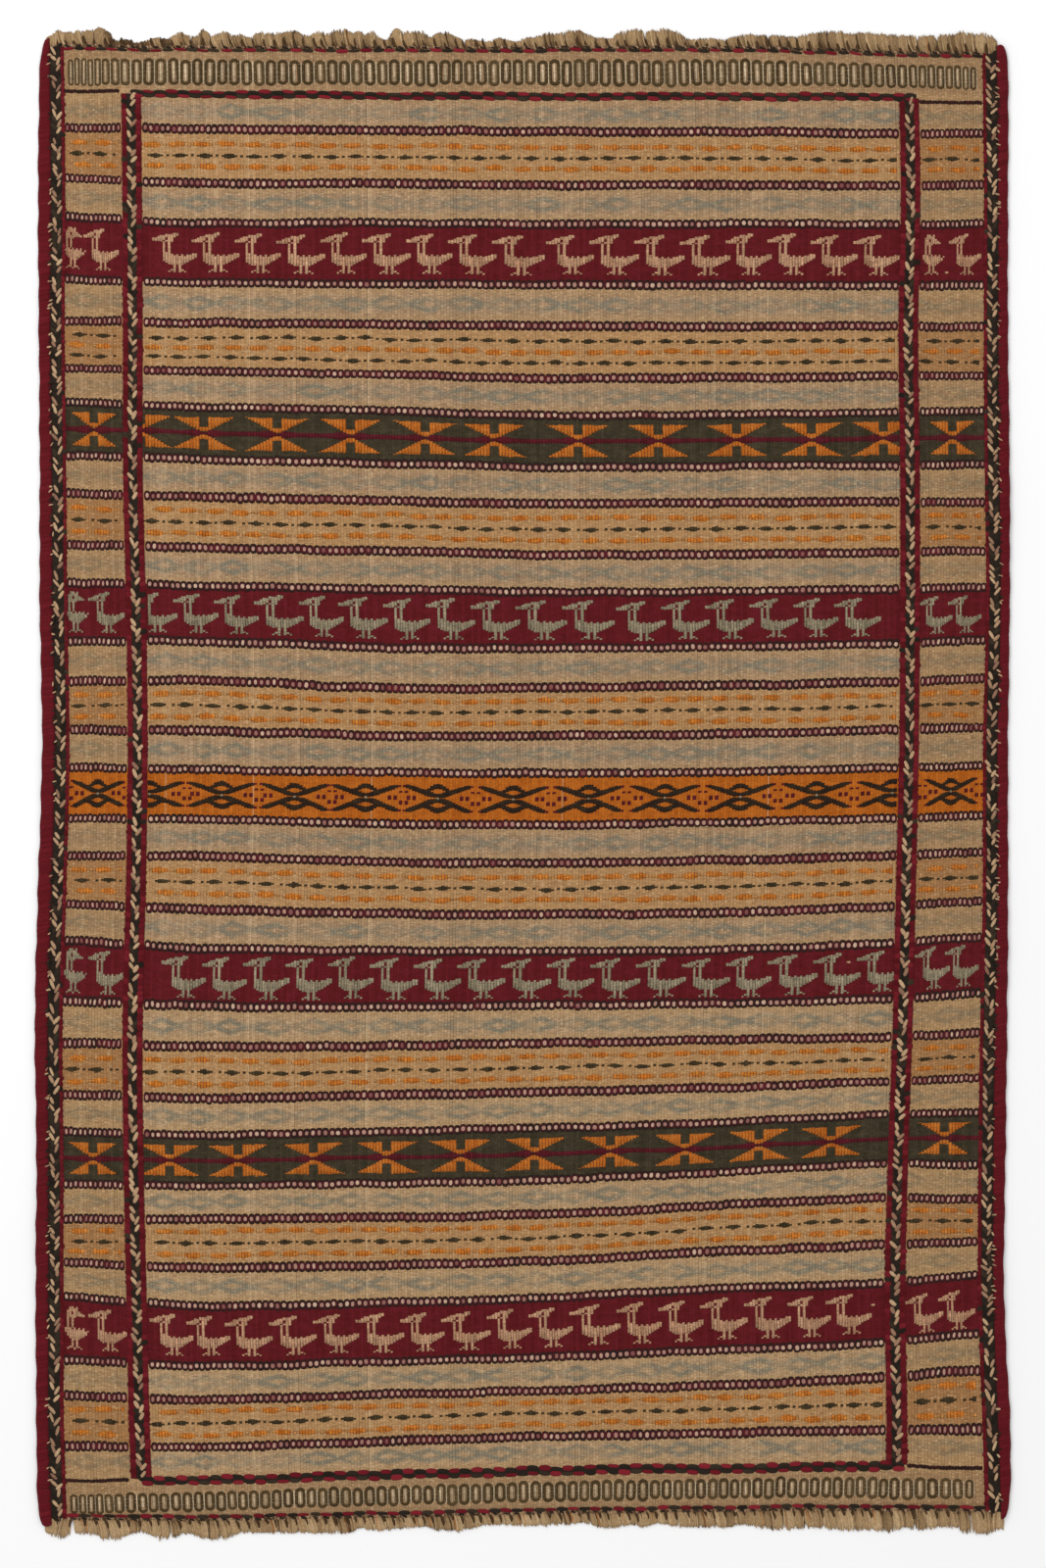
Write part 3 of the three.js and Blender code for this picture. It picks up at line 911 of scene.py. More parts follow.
# The border birds' places are read across the rug, and each has its own size
birds = {"seed": 33, "rowLong": 1.88, "loneWidth": 0.8, "foot": -24.5, "rib": 3.35, "gap": 52,
         "widths": (0.95, 1.12), "wools": [0, 1, 1, 0], "rightDrop": [0, 0, 0, 5],
         "borderRibs": [2.6, 2.68, 2.6, 2.5],
         "borderPlaces": [[-562, -538, 489, 521], [-559, -532, 483, 520], [-562, -533, 479, 516],
                          [-561, -532, 467, 508]]}


def weaveChart(floats, chart, left, foot, wool, rng, rib):
    # Joins the signs that stand over each other on one warp into one float
    for column in range(len(chart[0])):
        start = None
        for row, signs in enumerate(chart + ["." * len(chart[0])]):
            if signs[column] == "#" and start is None:
                start = row
            if signs[column] == "." and start is not None:
                high, low = [foot + (len(chart) - end) * birds["rowLong"] for end in (start, row)]
                beside = "." + chart[start] + "."
                # A float with none beside it is narrower
                width = rib if "#" in beside[column] + beside[column + 2] else birds["loneWidth"] * rib
                floats.add(left + (column + 0.5) * rib, low + rng.normal(0, 0.2), high + rng.normal(0, 0.2),
                           wool, width, rng.uniform(0.2, 0.9))
                start = None


def makeBirds():
    rng = np.random.default_rng(birds["seed"])
    floats = Floats()
    for number, band in enumerate(bandsOf("birds")):
        wool, middle, beaks = birds["wools"][number], middleOf(band), band["beaks"]
        for left, following in zip(beaks, beaks[1:] + [beaks[-1] + birds["gap"]]):
            foot = middle + birds["foot"] + rng.normal(0, 0.6)
            rib = birds["rib"] * np.clip((following - left) / birds["gap"], *birds["widths"])
            left = unswayed(left, middle)
            # The braid hides the front of a bird that starts under it
            hidden = max(0, math.ceil((centreZone["left"] - left) / rib))
            weaveChart(floats, ["." * hidden + row[hidden:] for row in birdChart], left, foot, wool, rng, rib)
        # The first bird of each border looks the other way, on the right only in the top band
        for i, across in enumerate(birds["borderPlaces"][number]):
            turned = i == 0 or (number == 0 and i == 2)
            foot = middle + birds["foot"] - (birds["rightDrop"][number] if across > 0 else 0)
            weaveChart(floats, turnedBirdChart if turned else birdChart, unswayed(across, middle), foot, wool,
                       rng, birds["borderRibs"][i])
    floats.keep("bird_floats", "tanFloat", "greyFloat")


makeBirds()

# Notched orange wings over and under a plum line, in the green bands
crosses = {"seed": 34, "reach": 10, "borderReach": 8, "outer": 19.4, "inner": 2.0, "waist": 0.08,
           "notch": 7.4, "line": 2.6, "swell": 1.6, "narrow": 1.3, "centres": [
        [-464, -387.4, -298.7, -209.9, -119.5, -36, 65.6, 162.6, 257.4, 347.9, 435],
        [-429.4, -345.1, -252.4, -162.4, -71.2, 19.7, 112.7, 204.6, 295.2, 384],
    ]
}


def inZone(u, zone, margin):
    return zone["left"] + margin < u < zone["right"] - margin


def borderSpots(value):
    return [((zone["left"] + zone["right"]) / 2, value, zone) for zone in (leftZone, rightZone)]


def makeCrosses():
    rng = np.random.default_rng(crosses["seed"])
    floats = Floats()
    for centres, band in zip(crosses["centres"], bandsOf("crosses")):
        middle = middleOf(band)
        spots = [(centre, crosses["reach"], centreZone) for centre in centres]
        spots += borderSpots(crosses["borderReach"])
        for centre, reach, zone in spots:
            for k in range(-reach, reach + 1):
                u = centre + k * ribWidth
                if not inZone(u, zone, 1):
                    continue
                outer = crosses["outer"] + rng.normal(0, 0.25)
                away = max(0.0, abs(k) / reach - crosses["waist"]) / (1 - crosses["waist"])
                inner = crosses["inner"] + (crosses["outer"] - crosses["inner"]) * away
                tip = crosses["notch"] if abs(k) <= 1 else outer
                for side in (1, -1):
                    low, high = sorted((middle + side * inner, middle + side * tip))
                    floats.add(u, low + rng.normal(0, 0.2), high + rng.normal(0, 0.2), 0)
        for zone in zones:
            own = [spot[0] for spot in spots if spot[2] is zone]
            for u in np.arange(zone["left"] + 2, zone["right"], ribWidth):
                near = min(abs(u - centre) for centre in own)
                swell = crosses["swell"] * math.exp(-((near - 12) / 8) ** 2)
                half = crosses["narrow"] if near < 4 else crosses["line"] + swell
                floats.add(u, middle - half, middle + half, 1)
    floats.keep("cross_floats", "orangeFloat", "plumFloat")


makeCrosses()

# Half heights of the dark crosses in the orange band, a row for each warp from the middle outwards
eyeTable = {
    "columns": ["warp", "upperTop", "upperLow", "lowerTop", "lowerLow"],
    "rows": [
        [0, 17, 1.8, -1.8, -17.6],
        [1, 16.6, 1.0, -0.8, -17],
        [2, 14.6, 1.4, -0.8, -15.6],
        [3, 11.8, 2.4, -1.8, -13.2],
        [4, 10, 3.8, -3.4, -11.4],
        [5, 10.6, 5.2, -5.2, -11],
        [6, 12, 6.6, -6.8, -12.4],
        [7, 13.2, 8, -8.4, -14],
        [8, 14.4, 9.4, -10, -15.6],
        [9, 15.2, 10.8, -11.4, -16.8],
        [10, 15.8, 12.4, -13.2, -17],
        [11, 15.6, 13.8, -15, -16.6],
    ],
}
eyes = {"seed": 35, "borderShare": 0.8, "dot": 1.4, "lap": 0.4, "hearts": (8.4, -8.2),
        "heartGaps": [3.0, 2.4, 0.9],
        "centres": [-459, -371, -282, -195, -107, -15, 77, 170, 262, 355, 447],
        "squaresOut": 46, "squares": [(13.6, 0.2, 5.4), (0, 7.6, 2.4), (0, -6, 5.0)]}


def makeEyes():
    rng = np.random.default_rng(eyes["seed"])
    floats = Floats()
    middle = middleOf(bandsOf("eyes")[0])
    spots = [(centre, 1.0, centreZone) for centre in eyes["centres"]] + borderSpots(eyes["borderShare"])
    last = len(eyeTable["rows"]) - 1
    for centre, share, zone in spots:
        floats.add(centre, middle - eyes["dot"], middle + eyes["dot"], 2, 0.8 * ribWidth)
        wide = ribWidth * share
        for k in range(-last, last + 1):
            u = centre + k * wide
            if not inZone(u, zone, 1):
                continue
            _, upperTop, upperLow, lowerTop, lowerLow = eyeTable["rows"][abs(k)]
            for low, high, heart in zip((upperLow, lowerLow), (upperTop, lowerTop), eyes["hearts"]):
                low = middle + low - eyes["lap"] + rng.normal(0, 0.2)
                high = middle + high + eyes["lap"] + rng.normal(0, 0.2)
                if abs(k) < len(eyes["heartGaps"]):
                    gap = eyes["heartGaps"][abs(k)]
                    floats.add(u, low, middle + heart - gap, 0, wide)
                    floats.add(u, middle + heart + gap, high, 0, wide)
                else:
                    floats.add(u, low, high, int(abs(k) == last), wide)
        # Pairs of small squares beside each cross
        for side in (-1, 1):
            for inwards, height, tall in eyes["squares"]:
                for half in (-1, 1):
                    u = centre + side * (eyes["squaresOut"] * share - inwards) + half * 0.95 * ribWidth
                    if inZone(u, zone, 2) and (zone is not centreZone or side > 0 or inwards):
                        floats.add(u, middle + height - tall / 2, middle + height + tall / 2, 1)
    floats.keep("eye_floats", "blackFloat", "plumFloat", "greyFloat")


makeEyes()

# Rows of dashes: the heights of an orange dash (o) and a black one (b), warp by warp
dashes = {"seed": 44, "spacing": 13.6, "pitches": [8, 8, 9], "b": [2.2, 4.6, 6.0, 4.8, 2.4],
          "o": [3.2, 5.2, 6.6, 7.0, 6.8, 5.2, 3.2], "dot": 2.8, "linkHalf": 2.0}


def makeDashes():
    rng = np.random.default_rng(dashes["seed"])
    floats = Floats()
    rows = [(middleOf(band) + place * dashes["spacing"], colour, zone) for band in bandsOf("dashes")
            for place, colour in zip((1, 0, -1), band["rows"]) for zone in zones]
    for v, colour, zone in rows:
        black, heights = colour == "b", dashes[colour]
        column = int(rng.integers(0, 4))
        last = int((zone["right"] - zone["left"]) / ribWidth) - 1
        while column < last:
            step = int(rng.choice(dashes["pitches"]))
            rise = rng.normal(0, 0.5)
            for k in range(min(step, last - column)):
                u = zone["left"] + (column + k + 0.5) * ribWidth
                if k < len(heights):
                    wool = 0 if black else 2 if k in (0, len(heights) - 1) else 1
                    low, high = heights[k] * rng.uniform(0.75, 1.2, 2) / 2
                    floats.add(u, v + rise - low, v + rise + high, wool, ribWidth, rng.uniform(0.1, 0.9))
                elif black and k == (len(heights) + step) // 2:
                    floats.add(u, v - dashes["dot"] / 2, v + dashes["dot"] / 2, 0, 0.8 * ribWidth)
                elif not black:
                    half = dashes["linkHalf"] * rng.uniform(-0.2, 1.1)
                    floats.add(u, v - half, v + half, 2)
            column += step
    floats.keep("dash_floats", "oliveFloat", "dashFloat", "linkFloat")


makeDashes()
# Small tan marks in the bands and the right border
strayMarks = [(515, 626), (458, 184), (440, -655), (399, -226)]


def makeStrays():
    floats = Floats()
    for u, v in strayMarks:
        floats.add(u, v - 1.2, v + 1.2, 0, 1.2 * ribWidth)
    floats.keep("stray_floats", "tanFloat")


makeStrays()
print("figures woven")


# Braids: leaning stitches of cream and black that change sides, between plain maroon lines

braids = {"seed": 55, "pitch": 8.7, "stitch": (5.3, 13.2, 1.3), "lean": 30, "column": 2.5, "half": 5.0,
          "runs": [2] * 10 + [3, 1], "outerShift": 1.2, "outerWiden": 1.2, "outerCream": 0.86, "bed": 0.6,
          "bedStep": 24, "linePitch": 6.4, "lineLean": 24, "strayEvery": 8, "strayLean": 62,
          "outerEnds": (-892, 902), "innerEnds": (-840, 841)}
# How far each braid reaches beside its middle, the side of it that the rug's edge is on (0 for an inner
# braid), and the wool of its bed: black is 0 and maroon is 1
braidLines = [
    {"name": "outer_braid_left", "node": "braid_outer_left", "centre": nominal["outerLeft"],
     "edges": (-9.0, 9.4), "outside": -1, "bed": [0, 0, 0, 0, 0, 0, 1, 1]},
    {"name": "inner_braid_left", "node": "braid_inner_left", "centre": nominal["innerLeft"],
     "edges": (-12.3, 12.3), "outside": 0, "bed": [1, 1, 0, 0, 0, 0, 1, 1]},
    {"name": "inner_braid_right", "node": "braid_inner_right", "centre": nominal["innerRight"],
     "edges": (-12.3, 12.3), "outside": 0, "bed": [1, 1, 0, 0, 0, 0, 1, 1]},
    {"name": "outer_braid_right", "node": "braid_outer_right", "centre": nominal["outerRight"],
     "edges": (-9.4, 9.0), "outside": 1, "bed": [1, 1, 0, 0, 0, 0, 0, 0]},
]


def makeBraid(number, name, node, centre, edges, outside, bed):
    rng = np.random.default_rng(braids["seed"] + number)
    bottom, top = braids["outerEnds" if outside else "innerEnds"]
    long, half = top - bottom, braids["half"]
    stitchWide, stitchLong, stitchHigh = braids["stitch"]
    spread, creamSpread = (braids["outerWiden"], braids["outerCream"]) if outside else (1.0, 1.0)
    stitches = Stitches()
    count = int(round(long / braids["pitch"]))
    creamSide, run = 1, 2
    for i in range(count):
        if run == 0:
            creamSide = -creamSide
            run = int(rng.choice(braids["runs"]))
        run -= 1
        for side in (-1, 1):
            cream = side == creamSide
            stitches.add(u=centre + outside * braids["outerShift"] + side * braids["column"] * spread
                         + rng.normal(0, 0.4),
                         v=bottom + (i + 0.5 + 0.25 * side) * long / count + rng.normal(0, 0.5),
                         h=0.3 + 0.1 * (i % 2),
                         wide=stitchWide * rng.uniform(0.8, 1.08) * (creamSpread if cream else spread),
                         long=stitchLong * rng.uniform(0.82, 1.1), high=stitchHigh * (1.1 if cream else 0.95),
                         turn=-side * braids["lean"] + rng.normal(0, 8), tone=rng.uniform(0.05, 0.9),
                         wool=0 if cream else 1)
    # The maroon lines beside the braid are short stitches too; the few black ones among them are painted shade
    # for the dark gaps between stitches
    steps = int(long / braids["linePitch"])
    for edge in edges:
        if outside * edge > 0:
            continue
        line = centre + (edge + math.copysign(half, edge)) / 2
        for i in range(steps):
            stitches.add(u=line + rng.normal(0, 0.45), v=bottom + (i + 0.5) * long / steps, h=0.35,
                         wide=(abs(edge) - half) * rng.uniform(1.0, 1.32),
                         long=braids["linePitch"] * rng.uniform(0.95, 1.35), high=0.9,
                         turn=rng.normal(math.copysign(braids["lineLean"], edge), 7), tone=rng.uniform(0, 1),
                         wool=1 if rng.random() < 0.05 else 2)
    # Ends of the braid's yarn that stray over the edge winding
    for i in range(int(long / braids["strayEvery"]) if outside else 0):
        wool = int(rng.random() < 0.5)
        stitches.add(u=centre + outside * rng.uniform(7.5, 10.5), v=rng.uniform(bottom + 10, top - 10),
                     h=rng.uniform(1.7, 2.2), wide=rng.uniform(1.6, 2.6), long=rng.uniform(4.5, 7.5),
                     high=0.8, turn=outside * rng.normal(braids["strayLean"], 22),
                     tone=rng.uniform(0.1, 0.9), wool=wool)
    laid = stitches.lay(name + "_stitches", domeShape(8, 3, 0.85),
                        pick("creamYarn", "blackYarn", "maroonYarn"))
    low, high = edges
    across = [low, low + 0.6, -half - 0.6, -half, 0, half, half + 0.6, high - 0.6, high]
    under = ribbonPiece(name + "_bed", [centre + a for a in across], [0] + [braids["bed"]] * 7 + [0],
                        (bottom, top), braids["bedStep"], lay, pick("blackYarn", "maroonYarn"), bed)
    keepPiece(joinPieces(name, [laid, under]), "braid_wool", node)


for number, line in enumerate(braidLines, 1):
    makeBraid(number, **line)
print("braids plaited")


# Twined lines across the ends: maroon and black floats in turn

twining = {"seed": 66, "float": 14.1, "ends": (-562, 565), "frameEnds": (-474, 476), "stroke": 3.6,
           "bed": 0.35, "bedAcross": [-4.2, -3.2, 0, 3.2, 4.2], "bedStep": 12}
# Where each line lies, how far its rows of floats lie from there, and how thick red and black floats are
twinedLines = [
    {"name": "top_end_twining", "node": "end_line_top", "along": 898, "rows": [0], "red": 4.4, "black": 4.6},
    {"name": "bottom_end_twining", "node": "end_line_bottom", "along": -888, "rows": [0],
     "red": 4.8, "black": 5.4},
    {"name": "top_frame_twining", "node": "frame_line_top", "along": 842, "rows": [-2.6, 2.6],
     "red": 4.8, "black": 6.0},
    {"name": "bottom_frame_twining", "node": "frame_line_bottom", "along": -841, "rows": [-3.2, 3.2],
     "red": 6.0, "black": 6.4},
]


def makeTwinedLine(number, name, node, along, rows, red, black):
    rng = np.random.default_rng(twining["seed"] + number)
    frameLine = len(rows) > 1
    left, right = twining["frameEnds" if frameLine else "ends"]
    count = int(round((right - left) / twining["float"]))
    pitch = (right - left) / count
    floats = Stitches()
    for row, shift in enumerate(rows):
        for i in range(count):
            isRed = (i + row) % 2 == 0
            floats.add(u=left + (i + 0.5) * pitch + rng.normal(0, 0.6),
                       v=along + shift * (1.12 if isRed else 0.94) + rng.normal(0, 0.3), h=-0.2,
                       wide=pitch * (rng.uniform(1.05, 1.25) if isRed else rng.uniform(1.0, 1.2)),
                       long=red * rng.uniform(0.8, 1.3) if isRed else black * rng.uniform(0.8, 1.1), high=1.8,
                       turn=rng.normal(-3, 2.5), tone=rng.uniform(0.15, 0.9), wool=0 if isRed else 1)
    # Dark slanted strokes between an end line and the fringe
    for i in range(0 if frameLine else count):
        floats.add(u=left + (i + 0.5) * pitch + rng.normal(0, 0.8),
                   v=along + math.copysign(twining["stroke"], along), h=0.2,
                   wide=pitch * rng.uniform(0.45, 0.65), long=rng.uniform(2.2, 3.0), high=1.3,
                   turn=rng.normal(-14, 4), tone=rng.uniform(0.1, 0.9), wool=1)
    parts = [floats.lay(name, domeShape(10, 3, 0.85), pick("redYarn", "blackYarn"))]
    if frameLine:
        # A dark bed fills the gaps between the two rows
        parts.append(ribbonPiece(name + "_bed", [along + a for a in twining["bedAcross"]],
                                 [0] + [twining["bed"]] * 3 + [0], (left, right), twining["bedStep"],
                                 lambda side, run, h: lay(run, side, h), pick("blackYarn"), [0] * 4))
    keepPiece(joinPieces(name, parts), "line_wool", node)


for number, line in enumerate(twinedLines, 1):
    makeTwinedLine(number, **line)

# Thin dark zigzags that close the side borders
zigzag = {"seed": 77, "pitch": 3.4, "wide": 5.4, "long": 4.9, "turn": 42, "high": 1.5,
          "lines": [(844, leftZone, 0), (837, rightZone, 3.6), (-842, leftZone, 0), (-841, rightZone, 0)]}


def makeZigzags():
    rng = np.random.default_rng(zigzag["seed"])
    strokes = Stitches()
    for v, zone, rise in zigzag["lines"]:
        count = int((zone["right"] - zone["left"] - 2) / zigzag["pitch"])
        for i in range(count):
            strokes.add(u=zone["left"] + 1 + (i + 0.5) * zigzag["pitch"],
                        v=v + rise * i / count + rng.normal(0, 0.2), h=-0.1, wide=zigzag["wide"],
                        long=zigzag["long"] * rng.uniform(0.85, 1.15), high=zigzag["high"],
                        turn=(zigzag["turn"] if i % 2 else -zigzag["turn"]) + rng.normal(0, 4),
                        tone=rng.uniform(0.1, 0.8))
    keepPiece(strokes.lay("border_zigzags", domeShape(8, 2, 0.8), pick("darkYarn")), "line_wool")


makeZigzags()

# Rows of long olive loops near both ends, with a pale warp in and beside each of them
loopRows = {
    "columns": ["across", "top", "bottom", "topPitch", "bottomPitch", "topHalf", "bottomHalf"],
    "rows": [
        [-560, 872, -882, 7.8, 9.4, 15.6, 11.2],
        [-522, 872, -881, 9.5, 10.5, 15.6, 11.2],
        [-490, 872, -880, 14.2, 13.4, 15.6, 10.8],
        [-400, 872, -878, 14.7, 14.3, 14.8, 10.6],
        [-290, 871, -875, 14.9, 14.4, 14.2, 10.6],
        [-148, 871, -871, 14.9, 14.8, 14.2, 10.6],
        [-4, 871, -867, 15.2, 14.8, 14.2, 11.0],
        [128, 871, -865, 15.4, 14.6, 14.2, 11.0],
        [272, 871, -863, 15.0, 14.2, 14.2, 10.8],
        [422, 868, -861, 14.2, 14.2, 14.2, 10.8],
        [470, 867, -862, 12.8, 14.0, 14.0, 10.8],
        [530, 865, -863, 11.0, 13.0, 13.6, 10.8],
        [560, 864, -864, 7.6, 7.6, 13.2, 10.8],
    ],
}
loops = {"seed": 88, "left": -552, "right": 557, "ring": 0.66, "thread": 0.42, "high": 2.0, "pale": 0.19,
         "beside": 0.12, "crossings": (-0.72, -0.36, 0.02, 0.4, 0.74), "crossing": (3.6, 0.9, 1.0)}


def makeLoops():
    rng = np.random.default_rng(loops["seed"])
    rings, dots, floats = Stitches(), Stitches(), Floats()
    crossWide, crossLong, crossHigh = loops["crossing"]
    for end in ("top", "bottom"):
        curves = [curveThrough(loopRows, end + part) for part in ("", "Pitch", "Half")]
        u = loops["left"]
        while u < loops["right"]:
            middle, pitch, half = [float(curve(u)) for curve in curves]
            level = middle - float(weftRise(u, middle))
            v = level + rng.normal(0, 0.5)
            wide = loops["ring"] * pitch * rng.uniform(0.9, 1.08)
            half += rng.normal(0, 0.4)
            rings.add(u=u, v=v, h=-0.1, wide=wide, long=wide, high=loops["high"], turn=rng.normal(0, 1.2),
                      tone=rng.uniform(0.2, 0.8), reach=half - wide / 2)
            floats.add(u + rng.normal(0, 0.3), v - half + 3.6, v + half - 3.6, 0, loops["pale"] * pitch,
                       rng.uniform(0.2, 1))
            # Pale wefts cross the loops in dotted lines
            for share in loops["crossings"]:
                for side in (-1, 1):
                    if rng.random() < 0.7:
                        dots.add(u=u + side * wide / 2, v=level + share * half, h=0.25,
                                 wide=crossWide * rng.uniform(0.6, 1), long=crossLong, high=crossHigh,
                                 tone=rng.uniform(0, 0.6))
            step = pitch * rng.uniform(0.93, 1.07)
            floats.add(u + step / 2, v - half + 1, v + half - 1, 0, loops["beside"] * pitch,
                       rng.uniform(0, 0.9))
            u += step
    parts = [rings.lay("end_rings", ringShape(14, 4, loops["thread"]), pick("oliveYarn")),
             dots.lay("end_dots", domeShape(6, 1, 0.85), pick("creamYarn"))]
    keepPiece(joinPieces("end_loops", parts), "ground_wool")
    floats.keep("loop_hearts", "paleFloat")


makeLoops()
print("lines and loops laid")


# Long edges, wound round with maroon yarn

selvedge = {"seed": 99, "wrap": 2.7, "sides": 10, "height": 5.2, "ridge": 0.28, "corner": 56, "under": 0.25,
            "inner": 8.4, "slant": 1.6, "around": 30, "swells": [(0.03, 0.21), (0.02, 0.077)]}
# The tips of each edge, and the share of its width that is left there
selvedgeTips = {
    "left": {"top": 913, "topShare": 0.25, "bottom": -909, "bottomShare": 0.5},
    "right": {"top": 905, "topShare": 0.45, "bottom": -900, "bottomShare": 0.25},
}


def makeSelvedge(side, direction, node):
    tips = selvedgeTips[side]
    rings = int((tips["top"] - tips["bottom"]) / selvedge["wrap"]) * 2
    shape = strandShape(rings, selvedge["sides"])
    rng = np.random.default_rng(selvedge["seed"] + direction)
    ring = np.rint((shape[0][:, 2] + 1) / 2 * rings).astype(int)
    angle = np.arctan2(shape[0][:, 1], shape[0][:, 0])
    slack = rng.normal(0, 0.22, rings + 1)[ring]
    tone = np.clip(0.5 + rng.normal(0, 0.16, rings + 1), 0, 1)[ring]
    swell = 1 + sum(depth * np.sin(ring * pace) for depth, pace in selvedge["swells"])
    proud = np.where(ring % 2 == 0, -1.0, 1.0) * selvedge["ridge"] + slack * 0.5
    along = tips["bottom"] + (tips["top"] - tips["bottom"]) * ring / rings
    along = np.clip(along + selvedge["slant"] * np.cos(angle) * direction, tips["bottom"], tips["top"])
    # The winding narrows in a round towards its tips
    fromTip = np.where(along > 0, tips["top"] - along, along - tips["bottom"])
    tipShare = np.where(along > 0, tips["topShare"], tips["bottomShare"])
    past = np.maximum(0, 1 - fromTip / selvedge["corner"])
    widthShare = tipShare + (1 - tipShare) * np.sqrt(1 - past ** 2)
    inner = sideCurves["outer" + side.capitalize()](along) + direction * selvedge["inner"]
    outer = sideCurves["edge" + side.capitalize()](along)
    halfWide = (outer - inner) * direction * widthShare / 2 * swell
    halfHigh = selvedge["height"] / 2
    across = inner + direction * (halfWide + np.cos(angle) * (halfWide + proud))
    height = selvedge["under"] + halfHigh + np.sin(angle) * (halfHigh + proud * 0.6)
    places = settle(across, along, np.maximum(height, selvedge["under"]))
    piece = meshOfCopies(f"{side}_edge_winding", shape, places[None], [0], pick("maroonYarn"))
    for title in ("weave", "yarn"):
        setMap(piece.data, title, angle / math.tau * selvedge["around"], along)
    setTone(piece.data, tone)
    keepPiece(piece, "selvedge_wool", node)


makeSelvedge("left", -1, "selvedge_left")
makeSelvedge("right", 1, "selvedge_right")
print("edges wound")


# Fringe: soft locks that lap over each other, with frayed tips, and dark strands between their roots as
# painted shade.
# The outlines give [across, along] of the tips, in millimetres from the rug's middle.
fringeTips = {
    "top": [
        [-580, 916], [-571, 924], [-560, 922], [-537, 924], [-526, 925], [-519, 928], [-513, 925], [-505, 918],
        [-500, 911], [-484, 913], [-476, 908], [-458, 912], [-446, 916], [-435, 913], [-420, 923], [-413, 918],
        [-409, 921], [-401, 915], [-392, 926], [-382, 916], [-369, 922], [-360, 922], [-353, 917], [-346, 921],
        [-338, 915], [-320, 922], [-307, 920], [-279, 924], [-261, 916], [-250, 924], [-241, 919], [-232, 924],
        [-217, 926], [-207, 919], [-200, 925], [-195, 918], [-184, 924], [-175, 914], [-167, 911], [-161, 921],
        [-155, 927], [-148, 922], [-123, 923], [-112, 913], [-105, 921], [-94, 922], [-77, 913], [-61, 913],
        [-45, 909], [-28, 915], [-8, 909], [1, 915], [19, 916], [29, 922], [42, 919], [53, 924], [70, 924],
        [87, 915], [109, 914], [118, 922], [131, 925], [162, 924], [174, 926], [189, 922], [204, 912],
        [226, 915], [242, 912], [277, 920], [286, 918], [309, 918], [331, 916], [360, 922], [385, 923],
        [398, 920], [420, 922], [460, 918], [491, 917], [529, 920], [538, 924], [547, 921], [567, 921],
        [575, 916], [580, 911],
    ],
    "bottom": [
        [-584, -917], [-578, -922], [-567, -926], [-557, -922], [-547, -919], [-522, -921], [-515, -926],
        [-497, -927], [-484, -921], [-472, -917], [-453, -921], [-446, -927], [-424, -924], [-417, -919],
        [-404, -920], [-391, -926], [-375, -927], [-357, -924], [-349, -918], [-215, -919], [-199, -912],
        [-181, -916], [-117, -910], [-108, -915], [-77, -916], [-48, -909], [-26, -908], [-3, -910],
        [58, -908], [71, -905], [91, -910], [109, -913], [135, -908], [147, -912], [164, -906], [189, -911],
        [251, -912], [267, -908], [298, -913], [315, -915], [360, -912], [385, -915], [429, -915],
        [455, -918], [464, -911], [487, -916], [514, -911], [531, -912], [540, -919], [574, -920], [582, -915],
    ],
}
fringe = {"seed": 111, "pitch": 12.2, "left": -579, "right": 582, "lock": 14.5, "lockThick": 2.0,
          "levels": (1.95, 2.15), "strands": 8, "strand": 2.9, "strandThick": 1.8, "lean": 5.5, "rust": 0.04,
          "cornerLean": (9, 5.5, 2.5), "gap": (4.0, 13.0), "cordPitch": 3.9, "cord": (3.6, 4.6, 1.3),
          "darkLocks": (-502, -420)}


def layStrands(name, shape, **table):
    # Flattened rods from a root to a tip, each with its own lean, width, thickness and roll
    column = {key: np.broadcast_to(value, len(table["rootAcross"]))[:, None] for key, value in table.items()}
    across, up, s = shape[0].T[:, None]
    s = (s + 1) / 2
    blunt = np.maximum(0, s - column["blunt"]) / (1.001 - column["blunt"])
    blunt = np.sqrt(np.clip(1 - blunt ** 2, 0.12, 1))
    x = across * column["wide"] / 2 * np.minimum(1, 0.72 + s) * blunt
    z = column["level"] - column["droop"] * s + up * column["thick"] / 2 * blunt + column["roll"] * x
    u = column["rootAcross"] + (column["tipAcross"] - column["rootAcross"]) * (1 - (1 - s) ** 2) + x
    v = column["rootAlong"] + (column["tipAlong"] - column["rootAlong"]) * s
    piece = meshOfCopies(name, shape, settle(u, v, np.maximum(z, 0.15)), column["wool"].ravel(),
                         pick("fringeWool", "rustWool"))
    setMap(piece.data, "weave", u, v)
    around = np.arctan2(up, across) * column["wide"] / 3
    setMap(piece.data, "yarn", around + column["rootAcross"],
           s * np.abs(column["tipAlong"] - column["rootAlong"]))
    # Painted shade: the tone darkens towards each strand's root and on its under side
    setTone(piece.data, np.clip(column["tone"] - 0.3 * (1 - s) ** 3 - 0.12 * (up < 0), 0, 1))
    return piece


